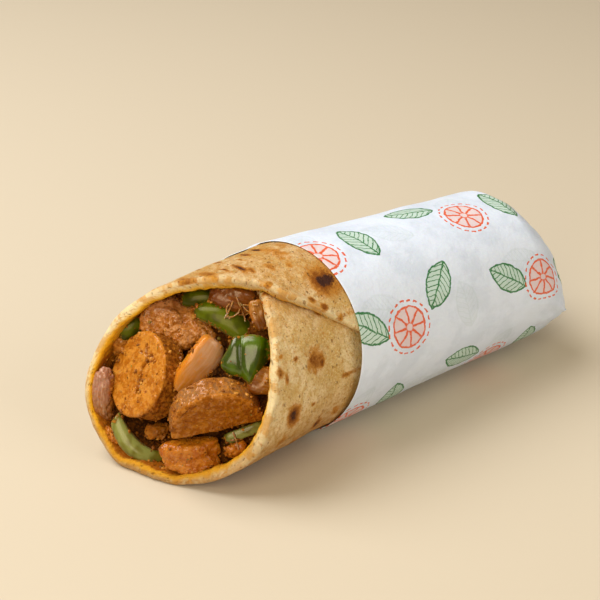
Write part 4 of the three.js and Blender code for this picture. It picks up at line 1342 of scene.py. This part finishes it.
def paper_material():
    material, tree, shader = new_material("printed_greaseproof", 0.5, specular=0.35,
                                          subsurface=0.05, glint=PLAIN_GLINT)
    place = map_place(tree, "paper")
    wobble = add(tree, "ShaderNodeTexNoise", {"Vector": place, "Scale": 0.5, "Detail": 2.0})
    shift = vector_calc(tree, "SUBTRACT", wobble.outputs["Color"], (0.5, 0.5, 0.5))
    shift = vector_calc(tree, "MULTIPLY", shift, (PRINT_WOBBLE, PRINT_WOBBLE, PRINT_WOBBLE))
    drawn = vector_calc(tree, "ADD", place, shift)
    leaf, wheel = leaf_group(), wheel_group()

    cloudy = cloud(tree, place, 0.06, 5, 0.65)
    # Soft cloudy blotches of painted shade, such as the paper's crinkles would cast.
    colour = blend(tree, PAPER_WHITE, PAPER_SHADE, cloudy, 0.44, 0.60, 0.6)
    line, fill = motif(tree, drawn, LEAVES, leaf, slide=(27, 30))
    ghost = calc(tree, "MULTIPLY_ADD", line, 0.10, times(tree, fill, 0.07))
    colour = mix(tree, ghost, colour, PRINT_BEHIND)
    worn = ramp(tree, cloud(tree, place, 1.6, 3), 0.25, 0.5, 0.6, 1.0)
    line, fill = motif(tree, drawn, LEAVES, leaf)
    colour = mix(tree, times(tree, fill, 0.6), colour, LEAF_TINT)
    colour = mix(tree, times(tree, line, worn), colour, LEAF_GREEN)
    line, fill = motif(tree, drawn, WHEELS, wheel)
    colour = mix(tree, times(tree, fill, 0.45), colour, WHEEL_TINT)
    colour = mix(tree, times(tree, line, worn), colour, WHEEL_ORANGE)
    tree.links.new(colour, shader.inputs["Base Color"])
    fibres = cloud(tree, place, 0.8, 4, 0.6)
    creases = cloud(tree, place, 0.16, 3, 0.5)
    raise_skin(tree, shader, calc(tree, "MULTIPLY_ADD", fibres, 0.3, creases), 0.5, 0.8)
    return material


sleeve = paper_sleeve()
finish_piece(sleeve, paper_material(), "paper", "paper_wrap")

# ---- floor, light and camera -------------------------------------------------------------------
# A plain pale table top, a large soft lamp above and behind, a soft one in front to the left that
# shines on the wet filling, a weaker one for the near side, and the camera before the mouth.

FLOOR = (0.60, 0.53, 0.42, 1)
ROOM = (1.0, 0.82, 0.56, 1)
ROOM_STRENGTH = 0.27
CAMERA_AT = (-255.149, -318.587, 250.299)
CAMERA_BEARING = math.radians(39.27)   # turned from straight behind the near side to the mouth
CAMERA_SLOPE = math.radians(27)        # looking down

bpy.ops.mesh.primitive_plane_add(size=4, location=(0, 0, -0.0002))
floor = bpy.context.object
floor.name = "floor"
floor_material, _, floor_shader = new_material("pale_table", 0.8, specular=0.2, glint=PLAIN_GLINT)
floor_shader.inputs["Base Color"].default_value = FLOOR
floor.data.materials.append(floor_material)


def look(thing, at, target):
    """Places a lamp or the camera so that it looks at a target, upright."""
    thing.location = at
    thing.rotation_euler = (Vector(at) - Vector(target)).to_track_quat("Z", "Y").to_euler()


def soft_lamp(name, at, target, size, power, colour):
    bpy.ops.object.light_add(type="AREA")
    lamp = bpy.context.object
    lamp.name = name
    lamp.data.shape = "RECTANGLE"
    lamp.data.size, lamp.data.size_y = size
    lamp.data.energy = power
    lamp.data.color = colour
    look(lamp, at, target)


soft_lamp("key_lamp", (-0.35, 0.45, 0.85), (0, 0, 0.02), (0.8, 0.8), 12, (1.0, 0.98, 0.95))
soft_lamp("front_lamp", (-0.72, -0.40, 0.58), (-0.04, 0, 0.03), (0.55, 0.6), 4.4, (1.0, 0.89, 0.68))
soft_lamp("side_lamp", (0.30, -0.80, 0.45), (0.02, 0, 0.03), (0.6, 0.5), 2.4, (1.0, 0.97, 0.93))

world = bpy.data.worlds.new("studio")
bpy.context.scene.world = world
world.use_nodes = True
world.node_tree.nodes["Background"].inputs["Color"].default_value = ROOM
world.node_tree.nodes["Background"].inputs["Strength"].default_value = ROOM_STRENGTH

camera_data = bpy.data.cameras.new("camera")
camera_data.lens = 90
camera_data.sensor_width = 36
camera = bpy.data.objects.new("camera", camera_data)
bpy.context.scene.collection.objects.link(camera)
backward = Vector((-math.cos(CAMERA_SLOPE) * math.sin(CAMERA_BEARING),
                   -math.cos(CAMERA_SLOPE) * math.cos(CAMERA_BEARING), math.sin(CAMERA_SLOPE)))
camera_at = ORIGIN + Vector(CAMERA_AT) * MM
look(camera, camera_at, camera_at - backward)
bpy.context.scene.camera = camera
bpy.context.scene.view_settings.view_transform = "Standard"
